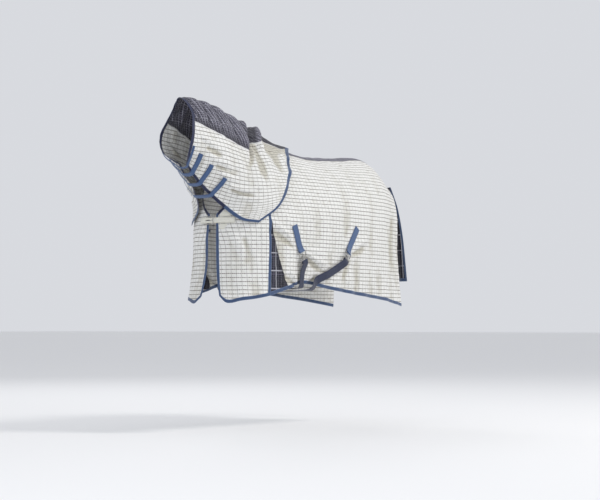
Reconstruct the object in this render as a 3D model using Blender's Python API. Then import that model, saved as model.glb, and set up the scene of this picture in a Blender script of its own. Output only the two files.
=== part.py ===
"""Horse fly sheet with a neck cover, worn shape: soft panels as thin shells, straps and metal fittings.

The horse faces -Y and its left side is +X.  The origin lies on the horse's back, under the spine strip,
where the animal holds the sheet up.  Every panel is a shell over one of two smooth surfaces: the rug
(chest, shoulder, barrel and rump) and the cover (neck, withers and shoulder cape).
"""

import math

import bmesh
import bpy
import numpy as np
from mathutils import Matrix, Vector

# ---------------------------------------------------------------- driving dimensions (metres)
CLOTH = 0.003            # thickness of a cloth panel
BINDING_WIDTH = 0.020
BINDING_THICK = 0.0045
LINING_DEPTH = 0.007     # lining's distance inside the front panel
LINING_THICK = 0.002
WEBBING_WIDTH = 0.045
WEBBING_THICK = 0.0020
CHEST_WEBBING = 0.030
CHEST_HEIGHT = -0.398
CHEST_SEWN_X = 0.128
CHEST_PIVOT_X = -0.026   # the buckle bar that the prong turns on
CHEST_PIVOT_Y = -0.9805
CHEST_BUCKLE_LENGTH = 0.038
CHEST_BUCKLE_HEIGHT = 0.040
CHEST_WIRE = 0.0022
PRONG_RADIUS = 0.0013
TAB_THICK = 0.0014
PATCH_THICK = 0.0012
CHEST_PATCH_X = 0.048
CHEST_PATCHES = (("chest_patch_upper", 0.106, -0.347, -0.379), ("chest_patch_lower", 0.090, -0.418, -0.446))
RUG_CLEARANCE = 0.0012   # air between a sewn-on piece and the cloth under it
WIRE = 0.0025            # radius of the fittings' wire
RING_WIDTH = 0.054
RING_HEIGHT = 0.030
HOOK_WIDTH = 0.016
HOOK_THICK = 0.002
EYE_WIDTH = 0.058
SPINE_SHARE = 0.105      # part of the rug's side, from the spine, that the strip covers
CREST_SHARE = 0.36       # part of the cover's side, from the crest, that the plaid covers
WITHERS_SHARE = 0.20     # the same at the cape's rear edge
GUSSET_STATION = 4.0     # rug station of the gusset's front seam
GUSSET_SPREAD = 0.95     # stations that the gusset opens by at the hem
GUSSET_APEX = 0.38      # share down the seam where the gusset begins
WITHERS_STATION = 5.0    # from here to the rear the rug meets over the spine
REAR_STATION = 10.0
NOTCH_STATION = 3.35     # cover station of the deep crease before the withers
CAPE_STATION = 5.0
CAPE_FRONT_STATION = 3.0  # the throat's dark binding ends and the cape's blue one begins
PIPING_WIDTH = 0.008
NECK_PIVOT = (0.0, -0.325, 0.030)
THROAT_STRAPS = ((0.20, 0.66, 0.012), (0.78, 0.70, 0.024), (1.52, 0.72, 0.024), (2.28, 0.74, 0.024))
THROAT_STRAP_THICK = 0.0018
THROAT_STRAP_LIFT = 0.0080
TAIL_HINGE = (0.0, 0.628, -0.112)
TAIL_FLAP_HALF = 0.125
TAIL_FLAP_LENGTH = 0.570

# One station of the rug: top edge, widest point and hem, then how peaked its back is.
RUG_STATIONS = [
    ((0.022, -0.962, -0.365), (0.030, -0.972, -0.590), (0.062, -0.985, -0.800), 1.0),
    ((0.062, -0.952, -0.325), (0.095, -0.958, -0.560), (0.115, -0.982, -0.838), 1.0),
    ((0.108, -0.915, -0.255), (0.165, -0.920, -0.520), (0.180, -0.946, -0.826), 1.0),
    ((0.132, -0.855, -0.160), (0.222, -0.862, -0.480), (0.230, -0.892, -0.816), 1.1),
    ((0.130, -0.775, -0.070), (0.258, -0.795, -0.440), (0.262, -0.812, -0.800), 1.3),
    ((0.000, -0.610, 0.050), (0.286, -0.680, -0.400), (0.280, -0.645, -0.758), 1.7),
    ((0.000, -0.480, 0.035), (0.300, -0.520, -0.380), (0.266, -0.510, -0.729), 1.6),
    ((0.000, -0.230, 0.003), (0.318, -0.270, -0.360), (0.290, -0.290, -0.758), 1.25),
    ((0.000, 0.060, 0.015), (0.312, 0.020, -0.330), (0.300, -0.010, -0.788), 1.05),
    ((0.000, 0.360, 0.030), (0.278, 0.270, -0.300), (0.288, 0.260, -0.812), 1.0),
    ((0.000, 0.610, -0.100), (0.225, 0.485, -0.340), (0.252, 0.492, -0.842), 1.0),
]

# One station of the cover: five points from the crest down to the throat or front edge.
COVER_STATIONS = [
    ((0.0, -1.235, 0.228), (0.070, -1.222, 0.150), (0.110, -1.258, 0.040),
     (0.090, -1.262, -0.055), (0.020, -1.205, -0.118)),
    ((0.0, -1.105, 0.222), (0.080, -1.120, 0.130), (0.124, -1.150, 0.005),
     (0.098, -1.165, -0.095), (0.024, -1.150, -0.180)),
    ((0.0, -0.970, 0.203), (0.094, -0.995, 0.100), (0.150, -1.030, -0.050),
     (0.122, -1.060, -0.165), (0.036, -1.070, -0.250)),
    ((0.0, -0.800, 0.155), (0.112, -0.845, 0.050), (0.188, -0.885, -0.110),
     (0.172, -0.940, -0.240), (0.085, -0.976, -0.335)),
    ((0.0, -0.632, 0.130), (0.124, -0.680, 0.015), (0.224, -0.765, -0.150),
     (0.238, -0.836, -0.290), (0.165, -0.934, -0.397)),
    ((0.0, -0.330, 0.034), (0.126, -0.455, 0.004), (0.234, -0.590, -0.166),
     (0.283, -0.735, -0.312), (0.233, -0.863, -0.412)),
]


# The straps' ways from the left hook to the right patch: down the left flank and up the right one as
# lengths along the horse and heights on the rug, and under the belly as points.  The rear one is lower.
FRONT_ROUTE = (
    [(-0.548, -0.662), (-0.550, -0.708)],
    [(0.274, -0.550, -0.753), (0.200, -0.538, -0.755), (0.100, -0.521, -0.752), (0.000, -0.505, -0.751),
     (-0.100, -0.490, -0.752), (-0.200, -0.474, -0.755), (-0.276, -0.459, -0.753)],
    [(-0.425, -0.705), (-0.345, -0.668), (-0.262, -0.632), (-0.205, -0.598)],
)
REAR_ROUTE = (
    [(-0.262, -0.638), (-0.340, -0.675), (-0.420, -0.708)],
    [(0.286, -0.462, -0.758), (0.206, -0.480, -0.767), (0.104, -0.493, -0.771), (0.000, -0.507, -0.772),
     (-0.104, -0.521, -0.771), (-0.206, -0.536, -0.769), (-0.282, -0.551, -0.760)],
    [(-0.560, -0.705), (-0.553, -0.660), (-0.553, -0.617)],
)
STRAP_LIFT = 0.012       # the straps' distance from the rug's flanks
FRONT_PATCH = ((-0.627, -0.417), (-0.576, -0.545))   # a patch's top and foot: along the horse, height
REAR_PATCH = ((-0.067, -0.406), (-0.158, -0.538))

CREAM = ("fly_mesh", (0.86, 0.86, 0.80), 0.75, 0.0)
PLAID = ("plaid_cotton", (0.09, 0.09, 0.12), 0.80, 0.0)
BLUE = ("blue_binding", (0.09, 0.18, 0.36), 0.65, 0.0)
WEBBING = ("blue_webbing", (0.08, 0.14, 0.32), 0.60, 0.0)
CREAM_WEBBING = ("cream_webbing", (0.82, 0.81, 0.72), 0.70, 0.0)
SATIN = ("satin_lining", (0.05, 0.04, 0.10), 0.35, 0.0)
METAL = ("nickel", (0.72, 0.70, 0.66), 0.25, 1.0)


# ---------------------------------------------------------------- helpers
def material(finish):
    """The Principled material of one finish, made once."""
    name, colour, roughness, metallic = finish
    found = bpy.data.materials.get(name)
    if found:
        return found
    made = bpy.data.materials.new(name)
    made.use_nodes = True
    shader = made.node_tree.nodes["Principled BSDF"]
    shader.inputs["Base Color"].default_value = (*colour, 1.0)
    shader.inputs["Roughness"].default_value = roughness
    shader.inputs["Metallic"].default_value = metallic
    return made


def blend(a, b, share):
    return a + (b - a) * share


def through(points, u):
    """The smooth curve through a list of points, at parameter u from 0 to their number less one."""
    points = [np.asarray(p, dtype=float) for p in points]
    i = int(min(max(math.floor(u), 0), len(points) - 2))
    f = u - i
    b, c = points[i], points[i + 1]
    a = points[i - 1] if i > 0 else 2 * b - c
    d = points[i + 2] if i + 2 < len(points) else 2 * c - b
    return 0.5 * (2 * b + (c - a) * f + (2 * a - 5 * b + 4 * c - d) * f**2 + (3 * b - a - 3 * c + d) * f**3)


def rug_point(s, t):
    """A point of the rug's left outside at station s, from the top edge (t = 0) to the hem (t = 1)."""
    top = through([r[0] for r in RUG_STATIONS], s)
    wide = through([r[1] for r in RUG_STATIONS], s)
    hem = through([r[2] for r in RUG_STATIONS], s)
    peak = float(through([(r[3],) for r in RUG_STATIONS], s)[0])
    if s >= WITHERS_STATION:
        top[0] = 0.0
    if t <= 0.5:
        turn = math.pi * t
        out = math.sin(turn)
        arch = min(max((s - 3.6) / 1.4, 0.0), 1.0)
        drop = blend(1 - 2 * t, max(math.cos(turn), 0.0) ** peak, arch)
        flat = top[:2] + (wide[:2] - top[:2]) * out
        return np.array([flat[0], flat[1], wide[2] + (top[2] - wide[2]) * drop])
    q = (t - 0.5) * 2
    flat = wide[:2] + (hem[:2] - wide[:2]) * q**2
    return np.array([flat[0], flat[1], wide[2] + (hem[2] - wide[2]) * q])


def cover_point(s, t):
    """A point of the neck cover's left outside, from the crest (t = 0) to the front edge (t = 1)."""
    rows = [through([station[k] for station in COVER_STATIONS], s) for k in range(5)]
    mirrored = rows[1] * np.array([-1.0, 1.0, 1.0])
    point = through([mirrored] + rows, 1 + 4 * t)
    point[0] = max(point[0], 0.0)
    return point


def on_surface(surface, s, t, side, lift):
    """A point lifted off a surface along its normal; side is 1 for left and -1 for right."""
    step = 0.02
    if t < 0:
        side, t = -side, -t
    here = surface(s, t)
    on_ridge = t < 0.004 and here[0] < 0.0001
    along = surface(s + step, max(t, 0.004)) - surface(s - step, max(t, 0.004))
    down = surface(s, t + step) - surface(s, t)
    if on_ridge:
        down = np.array([1.0, 0.0, 0.0])
        along[0] = 0.0
    normal = np.cross(down, along)
    normal /= np.linalg.norm(normal)
    point = here + normal * lift
    if on_ridge:
        point[0] = 0.0
    return np.array([point[0] * side, point[1], point[2]])


def finish_object(name, bm, finish, smooth=True):
    """Store a closed mesh as the named part, its faces turned outwards."""
    bmesh.ops.recalc_face_normals(bm, faces=bm.faces)
    if bm.calc_volume(signed=True) < 0:
        bmesh.ops.reverse_faces(bm, faces=bm.faces)
    mesh = bpy.data.meshes.new(name)
    bm.to_mesh(mesh)
    bm.free()
    if smooth:
        mesh.shade_smooth()
        mesh.set_sharp_from_angle(angle=math.radians(40))
    mesh.materials.append(material(finish))
    part = bpy.data.objects.new(name, mesh)
    bpy.context.collection.objects.link(part)
    return part


def slab(name, outer, inner, finish, smooth=True):
    """A closed slab between two grids of points with the same rows and columns."""
    rows, columns = len(outer), len(outer[0])
    bm = bmesh.new()
    faces = [[[bm.verts.new(point) for point in row] for row in grid] for grid in (outer, inner)]
    for grid in faces:
        for i in range(rows - 1):
            for j in range(columns - 1):
                bm.faces.new((grid[i][j], grid[i + 1][j], grid[i + 1][j + 1], grid[i][j + 1]))
    rim = [(i, 0) for i in range(rows)]
    rim += [(rows - 1, j) for j in range(1, columns)]
    rim += [(i, columns - 1) for i in range(rows - 2, -1, -1)]
    rim += [(0, j) for j in range(columns - 2, 0, -1)]
    for (i, j), (k, m) in zip(rim, rim[1:] + rim[:1]):
        bm.faces.new((faces[0][i][j], faces[0][k][m], faces[1][k][m], faces[1][i][j]))
    return finish_object(name, bm, finish, smooth)


def panel(name, surface, place, rows, columns, side, finish, lift=0.0, thick=CLOTH):
    """A cloth panel: place(a, b) gives the surface station and share for a and b from 0 to 1."""
    grids = []
    for depth in (lift, lift - thick):
        grid = []
        for i in range(rows + 1):
            line = []
            for j in range(columns + 1):
                s, t = place(i / rows, j / columns)
                line.append(on_surface(surface, s, t, side, depth))
            grid.append(line)
        grids.append(grid)
    return slab(name, grids[0], grids[1], finish)


def strip(name, path, outward, width, thick, finish):
    """Flat webbing along a path; outward holds, for each path point, the way its face looks.

    The width is one number, or one for each point.
    """
    path = [Vector(p) for p in path]
    widths = width if isinstance(width, list) else [width] * len(path)
    outer, inner = [], []
    for i, point in enumerate(path):
        ahead = path[min(i + 1, len(path) - 1)] - path[max(i - 1, 0)]
        ahead.normalize()
        face = Vector(outward[i])
        face = (face - ahead * face.dot(ahead)).normalized()
        across = ahead.cross(face).normalized() * (widths[i] / 2)
        outer.append([point + across + face * thick / 2, point - across + face * thick / 2])
        inner.append([point + across - face * thick / 2, point - across - face * thick / 2])
    return slab(name, outer, inner, finish, smooth=False)


def smooth_path(points, steps):
    """Points at even parameter steps on the smooth curve through a route's own points."""
    count = (len(points) - 1) * steps
    return [through(points, i / steps) for i in range(count + 1)]


def wire_loop(name, corners, radius, finish, sides=8):
    """A closed ring of round wire through a loop of points."""
    points = [Vector(c) for c in corners]
    count = len(points)
    plane = (points[1] - points[0]).cross(points[count // 2] - points[0]).normalized()
    bm = bmesh.new()
    rings = []
    for i, point in enumerate(points):
        ahead = (points[(i + 1) % count] - points[i - 1]).normalized()
        across = ahead.cross(plane).normalized()
        ring = []
        for k in range(sides):
            turn = 2 * math.pi * k / sides
            ring.append(bm.verts.new(point + (across * math.cos(turn) + plane * math.sin(turn)) * radius))
        rings.append(ring)
    for i in range(count):
        one, two = rings[i], rings[(i + 1) % count]
        for k in range(sides):
            n = (k + 1) % sides
            bm.faces.new((one[k], one[n], two[n], two[k]))
    return finish_object(name, bm, finish)


def rounded_rectangle(centre, across, up, width, height, corner, arc=3):
    """The corner points of a rectangle with round corners, in the plane of two unit vectors."""
    centre, across, up = Vector(centre), Vector(across), Vector(up)
    points = []
    for quarter in range(4):
        sx = (1, -1, -1, 1)[quarter]
        sy = (1, 1, -1, -1)[quarter]
        middle = centre + across * sx * (width / 2 - corner) + up * sy * (height / 2 - corner)
        for k in range(arc + 1):
            turn = math.pi / 2 * (quarter + k / arc)
            points.append(middle + across * math.cos(turn) * corner + up * math.sin(turn) * corner)
    return points


def share_for(surface, s, metres, start=0.0, step=0.004):
    """The share reached by going this many metres along a station's section, down or (step < 0) up."""
    t, gone, here = start, 0.0, surface(s, start)
    while gone < metres:
        ahead = surface(s, t + step)
        gone += np.linalg.norm(ahead - here)
        here = ahead
        t += step
    return t - step * (gone - metres) / np.linalg.norm(surface(s, t) - surface(s, t - step))


def rug_stations(s, metres, t):
    """The change of station that moves this many metres along the rug."""
    length = np.linalg.norm(rug_point(s + 0.01, t) - rug_point(s, t))
    return metres / length * 0.01


def rug_at(y, z, side, lift):
    """The point of the rug's outside at a given length along the horse and height."""
    s, t = 6.0, 0.7
    for _ in range(40):
        here = rug_point(s, t)
        ds = (rug_point(s + 0.01, t) - here) / 0.01
        dt = (rug_point(s, t + 0.01) - here) / 0.01
        slopes = np.array([[ds[1], dt[1]], [ds[2], dt[2]]])
        change = np.linalg.solve(slopes, np.array([y - here[1], z - here[2]]))
        s = min(max(s + 0.6 * change[0], 0.0), REAR_STATION)
        t = min(max(t + 0.6 * change[1], 0.1), 1.0)
    return Vector(on_surface(rug_point, s, t, side, lift))


def hang(name, place, axis, parts):
    """Parent moving parts to an empty on their joint's axis, which is the empty's own X."""
    turn = Vector((1.0, 0.0, 0.0)).rotation_difference(Vector(axis).normalized())
    frame = Matrix.LocRotScale(Vector(place), turn, None)
    pivot = bpy.data.objects.new(name, None)
    bpy.context.collection.objects.link(pivot)
    pivot.matrix_world = frame
    for part_name in parts:
        part = bpy.data.objects[part_name]
        part.parent = pivot
        part.matrix_parent_inverse = frame.inverted()


# ---------------------------------------------------------------- the rug's panels
def gusset_rear(t):
    """Station of the gusset's rear seam at share t."""
    opened = max(t - GUSSET_APEX, 0.0) / (1 - GUSSET_APEX)
    return GUSSET_STATION + GUSSET_SPREAD * opened


def hem_share(s):
    """Share at which the cloth ends and the hem's binding begins."""
    return share_for(rug_point, s, BINDING_WIDTH, 1.0, -0.004)


def neckline_share(s):
    """Share at which the neckline's binding ends and the cloth begins."""
    at_withers = min(max((s - WITHERS_STATION + 0.4) / 0.4, 0.0), 1.0)
    return blend(share_for(rug_point, min(s, WITHERS_STATION), BINDING_WIDTH), spine_share(s), at_withers)


def spine_share(s):
    """Half width of the spine strip as a share; it narrows to the withers."""
    opened = min(max((s - WITHERS_STATION) / 0.8, 0.0), 1.0)
    return SPINE_SHARE * (0.35 + 0.65 * opened)


def build_rug(side, hand):
    seam = 0.006
    edge = rug_stations(0.0, BINDING_WIDTH, 0.7)
    seam_half = rug_stations(GUSSET_STATION, 0.011, 0.9)

    def front(a, b):
        s = blend(edge + seam, GUSSET_STATION - seam_half - seam, a)
        return s, blend(neckline_share(s) + 0.006, hem_share(s) - 0.003, b)

    def front_edge(a, b):
        s = blend(0.0, edge, b)
        return s, blend(0.0, 1.0, a)

    def front_hem(a, b):
        s = blend(edge + seam, GUSSET_STATION - seam_half - seam, a)
        return s, blend(hem_share(s), 1.0, b)

    def flank(a, b):
        first = GUSSET_STATION + seam_half + seam
        s_top = blend(first, REAR_STATION, a)
        t = blend(neckline_share(s_top) + 0.010, hem_share(s_top) - 0.003, b)
        start = max(gusset_rear(t) + seam, first)
        s = blend(start, REAR_STATION, a)
        return s, t

    def flank_hem(a, b):
        s = blend(gusset_rear(1.0) + seam, REAR_STATION, a)
        return s, blend(hem_share(s), 1.0, b)

    def gusset(a, b):
        t = blend(GUSSET_APEX + 0.06, hem_share(4.4) - 0.003, b)
        s = blend(GUSSET_STATION + seam_half + seam, gusset_rear(t) - seam, a)
        return s, t

    def gusset_hem(a, b):
        s = blend(GUSSET_STATION + seam_half + seam, gusset_rear(1.0) - seam, a)
        return s, blend(hem_share(s), 1.0, b)

    def gusset_seam(a, b):
        s = blend(GUSSET_STATION - seam_half, GUSSET_STATION + seam_half, b)
        return s, blend(0.25, 1.0, a)

    def neckline(a, b):
        s = blend(edge + seam, WITHERS_STATION - 0.02, a)
        return s, blend(0.0, neckline_share(s), b)

    def lining(a, b):
        s = blend(edge + 0.1, GUSSET_STATION - 0.15, a)
        return s, blend(0.16, 0.94, b)

    raised = (BINDING_THICK - CLOTH) / 2
    panel(f"front_panel_{hand}", rug_point, front, 9, 10, side, CREAM)
    panel(f"front_lining_{hand}", rug_point, lining, 7, 8, side, SATIN, -LINING_DEPTH, LINING_THICK)
    panel(f"front_edge_binding_{hand}", rug_point, front_edge, 12, 1, side, BLUE, raised, BINDING_THICK)
    panel(f"front_hem_binding_{hand}", rug_point, front_hem, 9, 1, side, BLUE, raised, BINDING_THICK)
    panel(f"body_side_{hand}", rug_point, flank, 18, 14, side, CREAM)
    panel(f"body_hem_binding_{hand}", rug_point, flank_hem, 16, 1, side, BLUE, raised, BINDING_THICK)
    panel(f"shoulder_gusset_{hand}", rug_point, gusset, 4, 8, side, PLAID)
    panel(f"gusset_hem_binding_{hand}", rug_point, gusset_hem, 4, 1, side, BLUE, raised, BINDING_THICK)
    panel(f"gusset_seam_binding_{hand}", rug_point, gusset_seam, 14, 1, side, BLUE, raised, BINDING_THICK)
    panel(f"neckline_binding_{hand}", rug_point, neckline, 16, 1, side, BLUE, raised, BINDING_THICK)


def build_spine():
    def strip_place(a, b):
        s = blend(WITHERS_STATION + 0.02, REAR_STATION, a)
        return s, (spine_share(s) - 0.004) * (2 * b - 1)

    panel("spine_strip", rug_point, strip_place, 18, 8, 1, PLAID)


# ---------------------------------------------------------------- chest fastening
def bar_loop(centre, radius, start, end, steps=4):
    """Points round a bar along +Z, between two angles in the level plane, in degrees."""
    turns = [math.radians(blend(start, end, k / steps)) for k in range(steps + 1)]
    x, y, z = centre
    return [Vector((x + math.cos(a) * radius, y + math.sin(a) * radius, z)) for a in turns]


def cut(part, cutters, turn=None):
    """Take boxes, each given by its centre and size, out of a part; turn holds their three directions."""
    for number, (centre, size) in enumerate(cutters):
        bpy.ops.mesh.primitive_cube_add(size=1, location=centre)
        box = bpy.context.object
        box.name = f"cut_{part.name}_{number}"
        box.scale = size
        bpy.ops.object.transform_apply(location=False, rotation=False, scale=True)
        if turn is not None:
            box.rotation_euler = turn.to_euler()
        box.hide_render = True
        box.display_type = "WIRE"
        opening = part.modifiers.new(f"opening_{number}", "BOOLEAN")
        opening.operation = "DIFFERENCE"
        opening.solver = "EXACT"
        opening.object = box


def build_chest():
    """Strap sewn to the left panel, run through a pronged buckle that hangs on the right panel."""
    pivot = Vector((CHEST_PIVOT_X, CHEST_PIVOT_Y, CHEST_HEIGHT))
    far_bar = Vector((CHEST_PIVOT_X + CHEST_BUCKLE_LENGTH, CHEST_PIVOT_Y + 0.003, CHEST_HEIGHT))
    lift = RUG_CLEARANCE + WEBBING_THICK / 2 + 0.002

    sewn = [rug_front(x, CHEST_HEIGHT, 1, lift) for x in (CHEST_SEWN_X, 0.095, 0.060)]
    over = [(far_bar.x, far_bar.y + 0.0043), (pivot.x, pivot.y - 0.0062)]
    over.append((pivot.x - 0.020, pivot.y - 0.0058))
    path = sewn + [Vector((x, y, CHEST_HEIGHT)) for x, y in over]
    path.append(rug_front(-pivot.x + 0.042, CHEST_HEIGHT, -1, lift + 0.0045))
    path = [Vector(p) for p in smooth_path(path, 3)]
    ahead_faces = [(0, -1, 0)] * len(path)
    strap = strip("chest_strap", path, ahead_faces, CHEST_WEBBING, WEBBING_THICK, CREAM_WEBBING)
    slot_x = pivot.x + 0.011
    cut(strap, [((slot_x, pivot.y, CHEST_HEIGHT), (0.030, 0.05, 0.0058))])

    sizes = (CHEST_BUCKLE_LENGTH, CHEST_BUCKLE_HEIGHT)
    corners = rounded_rectangle((0, 0, 0), (1, 0, 0), (0, 0, 1), *sizes, 0.004)
    middle = (pivot + far_bar) / 2
    slope = (far_bar.y - pivot.y) / CHEST_BUCKLE_LENGTH
    frame = [middle + Vector((p.x, p.x * slope, p.z)) for p in corners]
    wire_loop("chest_buckle_frame", frame, CHEST_WIRE, METAL)

    collar = CHEST_WIRE + 0.0009
    tip = Vector((far_bar.x + 0.001, far_bar.y - CHEST_WIRE - PRONG_RADIUS - 0.0005, CHEST_HEIGHT))
    build_prong(pivot, collar, tip)

    wrap = CHEST_WIRE + 0.0004 + TAB_THICK / 2
    ends = [rug_front(x, CHEST_HEIGHT, -1, RUG_CLEARANCE + TAB_THICK / 2 + 0.001) for x in (0.092, 0.070)]
    tab = ends + bar_loop(pivot, wrap, -90, 90) + [pivot + Vector((-0.011, wrap, 0))]
    outward = [(0, -1, 0), (0, -1, 0)]
    outward += [(p - pivot).normalized() for p in tab[2:-1]] + [(0, 1, 0)]
    holder = strip("chest_buckle_tab", tab, outward, CHEST_WEBBING - 0.002, TAB_THICK, CREAM_WEBBING)
    cut(holder, [((pivot.x + 0.002, pivot.y, CHEST_HEIGHT), (0.016, 0.03, 0.0066))])

    for name, x_far, high, low in CHEST_PATCHES:
        grids = []
        for lift in (RUG_CLEARANCE + PATCH_THICK, RUG_CLEARANCE):
            grids.append([[rug_front(blend(CHEST_PATCH_X, x_far, i / 4), blend(high, low, j / 2), 1, lift)
                           for j in range(3)] for i in range(5)])
        slab(name, grids[0], grids[1], CREAM_WEBBING)


def build_prong(pivot, inner, tip):
    """The buckle's prong: a collar round the frame's bar and a pin to the far bar."""
    sides = 12
    half = 0.0022
    bm = bmesh.new()
    bmesh.ops.create_cone(
        bm, cap_ends=True, segments=8, radius1=PRONG_RADIUS, radius2=PRONG_RADIUS * 0.8,
        depth=(tip - pivot).length - inner - PRONG_RADIUS * 0.2,
    )
    ahead = (tip - pivot).normalized()
    turn = Vector((0, 0, 1)).rotation_difference(ahead).to_matrix().to_4x4()
    bmesh.ops.transform(bm, matrix=turn, verts=bm.verts)
    middle = ((tip - pivot).length + inner + PRONG_RADIUS * 0.2) / 2
    bmesh.ops.translate(bm, vec=ahead * middle, verts=bm.verts)
    pin = bpy.data.meshes.new("prong_pin")
    bmesh.ops.recalc_face_normals(bm, faces=bm.faces)
    bm.to_mesh(pin)
    bm.free()
    pin_object = bpy.data.objects.new("prong_pin_union", pin)
    bpy.context.collection.objects.link(pin_object)
    pin_object.hide_render = True
    pin_object.display_type = "WIRE"
    pin_object.location = pivot

    ring = bmesh.new()
    loops = []
    bore, rim = inner - 0.0006, inner + 0.0009
    turns = [2 * math.pi * k / sides for k in range(sides)]
    for radius, height in ((bore, -half), (rim, -half), (rim, half), (bore, half)):
        loops.append([ring.verts.new((math.cos(a) * radius, math.sin(a) * radius, height)) for a in turns])
    for one, two in zip(loops, loops[1:] + loops[:1]):
        for k in range(sides):
            n = (k + 1) % sides
            ring.faces.new((one[k], one[n], two[n], two[k]))
    collar = finish_object("chest_buckle_prong", ring, METAL)
    collar.location = pivot
    joined = collar.modifiers.new("pin", "BOOLEAN")
    joined.operation = "UNION"
    joined.solver = "EXACT"
    joined.object = pin_object


def rug_front(x, z, side, lift):
    """The point of the rug's front at a given distance from the middle and height."""
    s, t = 0.8, 0.25
    for _ in range(40):
        here = rug_point(s, t)
        ds = (rug_point(s + 0.01, t) - here) / 0.01
        dt = (rug_point(s, t + 0.01) - here) / 0.01
        slopes = np.array([[ds[0], dt[0]], [ds[2], dt[2]]])
        change = np.linalg.solve(slopes, np.array([x - here[0], z - here[2]]))
        s = min(max(s + 0.6 * change[0], 0.0), GUSSET_STATION)
        t = min(max(t + 0.6 * change[1], 0.05), 1.0)
    return Vector(on_surface(rug_point, s, t, side, lift))


# ---------------------------------------------------------------- crossed surcingles
def belly_face(point):
    """The way a strap's outer face looks at a point of its way under the belly."""
    return Vector((point[0], 0.0, point[2] + 0.46)).normalized()


def rug_face(y, z, side):
    """The way the rug's outside looks at a given length along the horse and height."""
    return (rug_at(y, z, side, 0.02) - rug_at(y, z, side, 0.0)).normalized()


def patch_frame(top, low, side, lift):
    """Ends of a sewn patch on the rug, then the ways that it runs, spreads and looks."""
    first = rug_at(*top, side, lift)
    last = rug_at(*low, side, lift)
    down = (last - first).normalized()
    look = rug_face(*low, side)
    across = down.cross(look).normalized()
    look = across.cross(down).normalized()
    return first, last, down, across, look


def sewn_points(top, low, side, lift, shares):
    """Points of a sewn patch's centre line, at shares of its length."""
    return [rug_at(blend(top[0], low[0], k), blend(top[1], low[1], k), side, lift) for k in shares]


def build_surcingle(name, near, far, route):
    """One surcingle: patch, ring and hook on the left, strap under the belly, sewn patch on the right."""
    lift = RUG_CLEARANCE + WEBBING_THICK / 2
    _, low, down, across, look = patch_frame(*near, 1, lift)

    bar = low + look * 0.009 + down * 0.012
    wrap = WIRE + 0.0011 + WEBBING_THICK / 2
    loop = [bar + (look * math.sin(a) + down * math.cos(a)) * wrap for a in
            (math.radians(90 - 30 * k) for k in range(7))]
    path = sewn_points(*near, 1, lift, (0.0, 0.25, 0.5, 0.75)) + [low - down * 0.002 + look * 0.005]
    faces = [look] * len(path) + [(p - bar).normalized() for p in loop] + [-look]
    path += loop + [loop[-1] - down * 0.009]
    strip(f"{name}_surcingle_patch", path, faces, WEBBING_WIDTH, WEBBING_THICK, WEBBING)

    ring = rounded_rectangle(bar + down * (RING_HEIGHT / 2), across, down, RING_WIDTH, RING_HEIGHT, 0.007)
    wire_loop(f"{name}_surcingle_ring", ring, WIRE, METAL)

    # The hook goes up behind the ring's lower bar, over it and down in front to a slotted eye.
    lower = bar + down * RING_HEIGHT
    reach = WIRE + 0.0013 + HOOK_THICK / 2
    turns = [math.radians(a) for a in (-75, -105, -135, -165, -195, -225, -250)]
    hook = [lower + (look * math.sin(a) + down * math.cos(a)) * reach for a in turns]
    faces = [(p - lower).normalized() for p in hook]
    eye_top = lower + look * reach + down * 0.011
    eye_low = eye_top + down * 0.015
    path = hook + [eye_top - down * 0.0015, eye_top, eye_low]
    widths = [HOOK_WIDTH] * (len(hook) + 1) + [EYE_WIDTH] * 2
    plate = strip(f"{name}_surcingle_hook", path, faces + [look] * 3, widths, HOOK_THICK, METAL)
    slot = eye_top + down * 0.0072
    turn = Matrix((across, look, down)).transposed()
    cut(plate, [(slot, (EYE_WIDTH - 0.010, 0.02, 0.0062))], turn)

    eye_bar = eye_low - down * 0.0025
    around = ((-0.0036, 0.012), (-0.0036, 0.001), (-0.0029, -0.0032), (0.0, -0.0046), (0.0029, -0.0032),
              (0.0036, 0.001), (0.0036, 0.014))
    turned = [eye_bar + look * out + down * fall for out, fall in around]
    faces = [-look, -look, (-look - down).normalized(), -down, (look - down).normalized(), look, look]

    end = rug_at(*far[1], -1, lift)
    rise = (end - rug_at(*far[0], -1, lift)).normalized()
    last = end + rise * 0.008
    points = [turned[-1]] + [rug_at(*p, 1, STRAP_LIFT) for p in route[0]] + [Vector(p) for p in route[1]]
    points += [rug_at(*p, -1, STRAP_LIFT) for p in route[2]] + [last + rise * 0.025, last]
    looks = [look] + [rug_face(*p, 1) for p in route[0]] + [belly_face(p) for p in route[1]]
    looks += [rug_face(*p, -1) for p in route[2]] + [rug_face(*far[1], -1)] * 2
    path = turned + [Vector(p) for p in smooth_path(points, 3)[1:]]
    faces += [Vector(p) for p in smooth_path(looks, 3)[1:]]
    strip(f"{name}_surcingle", path, faces, WEBBING_WIDTH, WEBBING_THICK, WEBBING)

    path = sewn_points(*far, -1, lift, (0.0, 0.34, 0.67, 1.0))
    face = [rug_face(*far[0], -1)] * 4
    strip(f"{name}_surcingle_anchor", path, face, WEBBING_WIDTH, WEBBING_THICK, WEBBING)
    hang(f"{name}_surcingle_sway", lower, last - lower, [f"{name}_surcingle", f"{name}_surcingle_hook"])


# ---------------------------------------------------------------- tail flap
def tail_point(a, b):
    """Outside of the tail flap: a runs down from the dock, b across from -1 to 1."""
    half = blend(0.085, TAIL_FLAP_HALF, a**0.6)
    x = half * b
    drop = TAIL_FLAP_LENGTH * a
    y = TAIL_HINGE[1] + 0.006 + 0.045 * math.sin(min(a * 1.6, 1.0) * math.pi / 2) + 0.085 * a
    y -= 0.035 * b**2 * (0.4 + 0.6 * a)
    return np.array([x, y, TAIL_HINGE[2] - 0.004 - drop])


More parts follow.
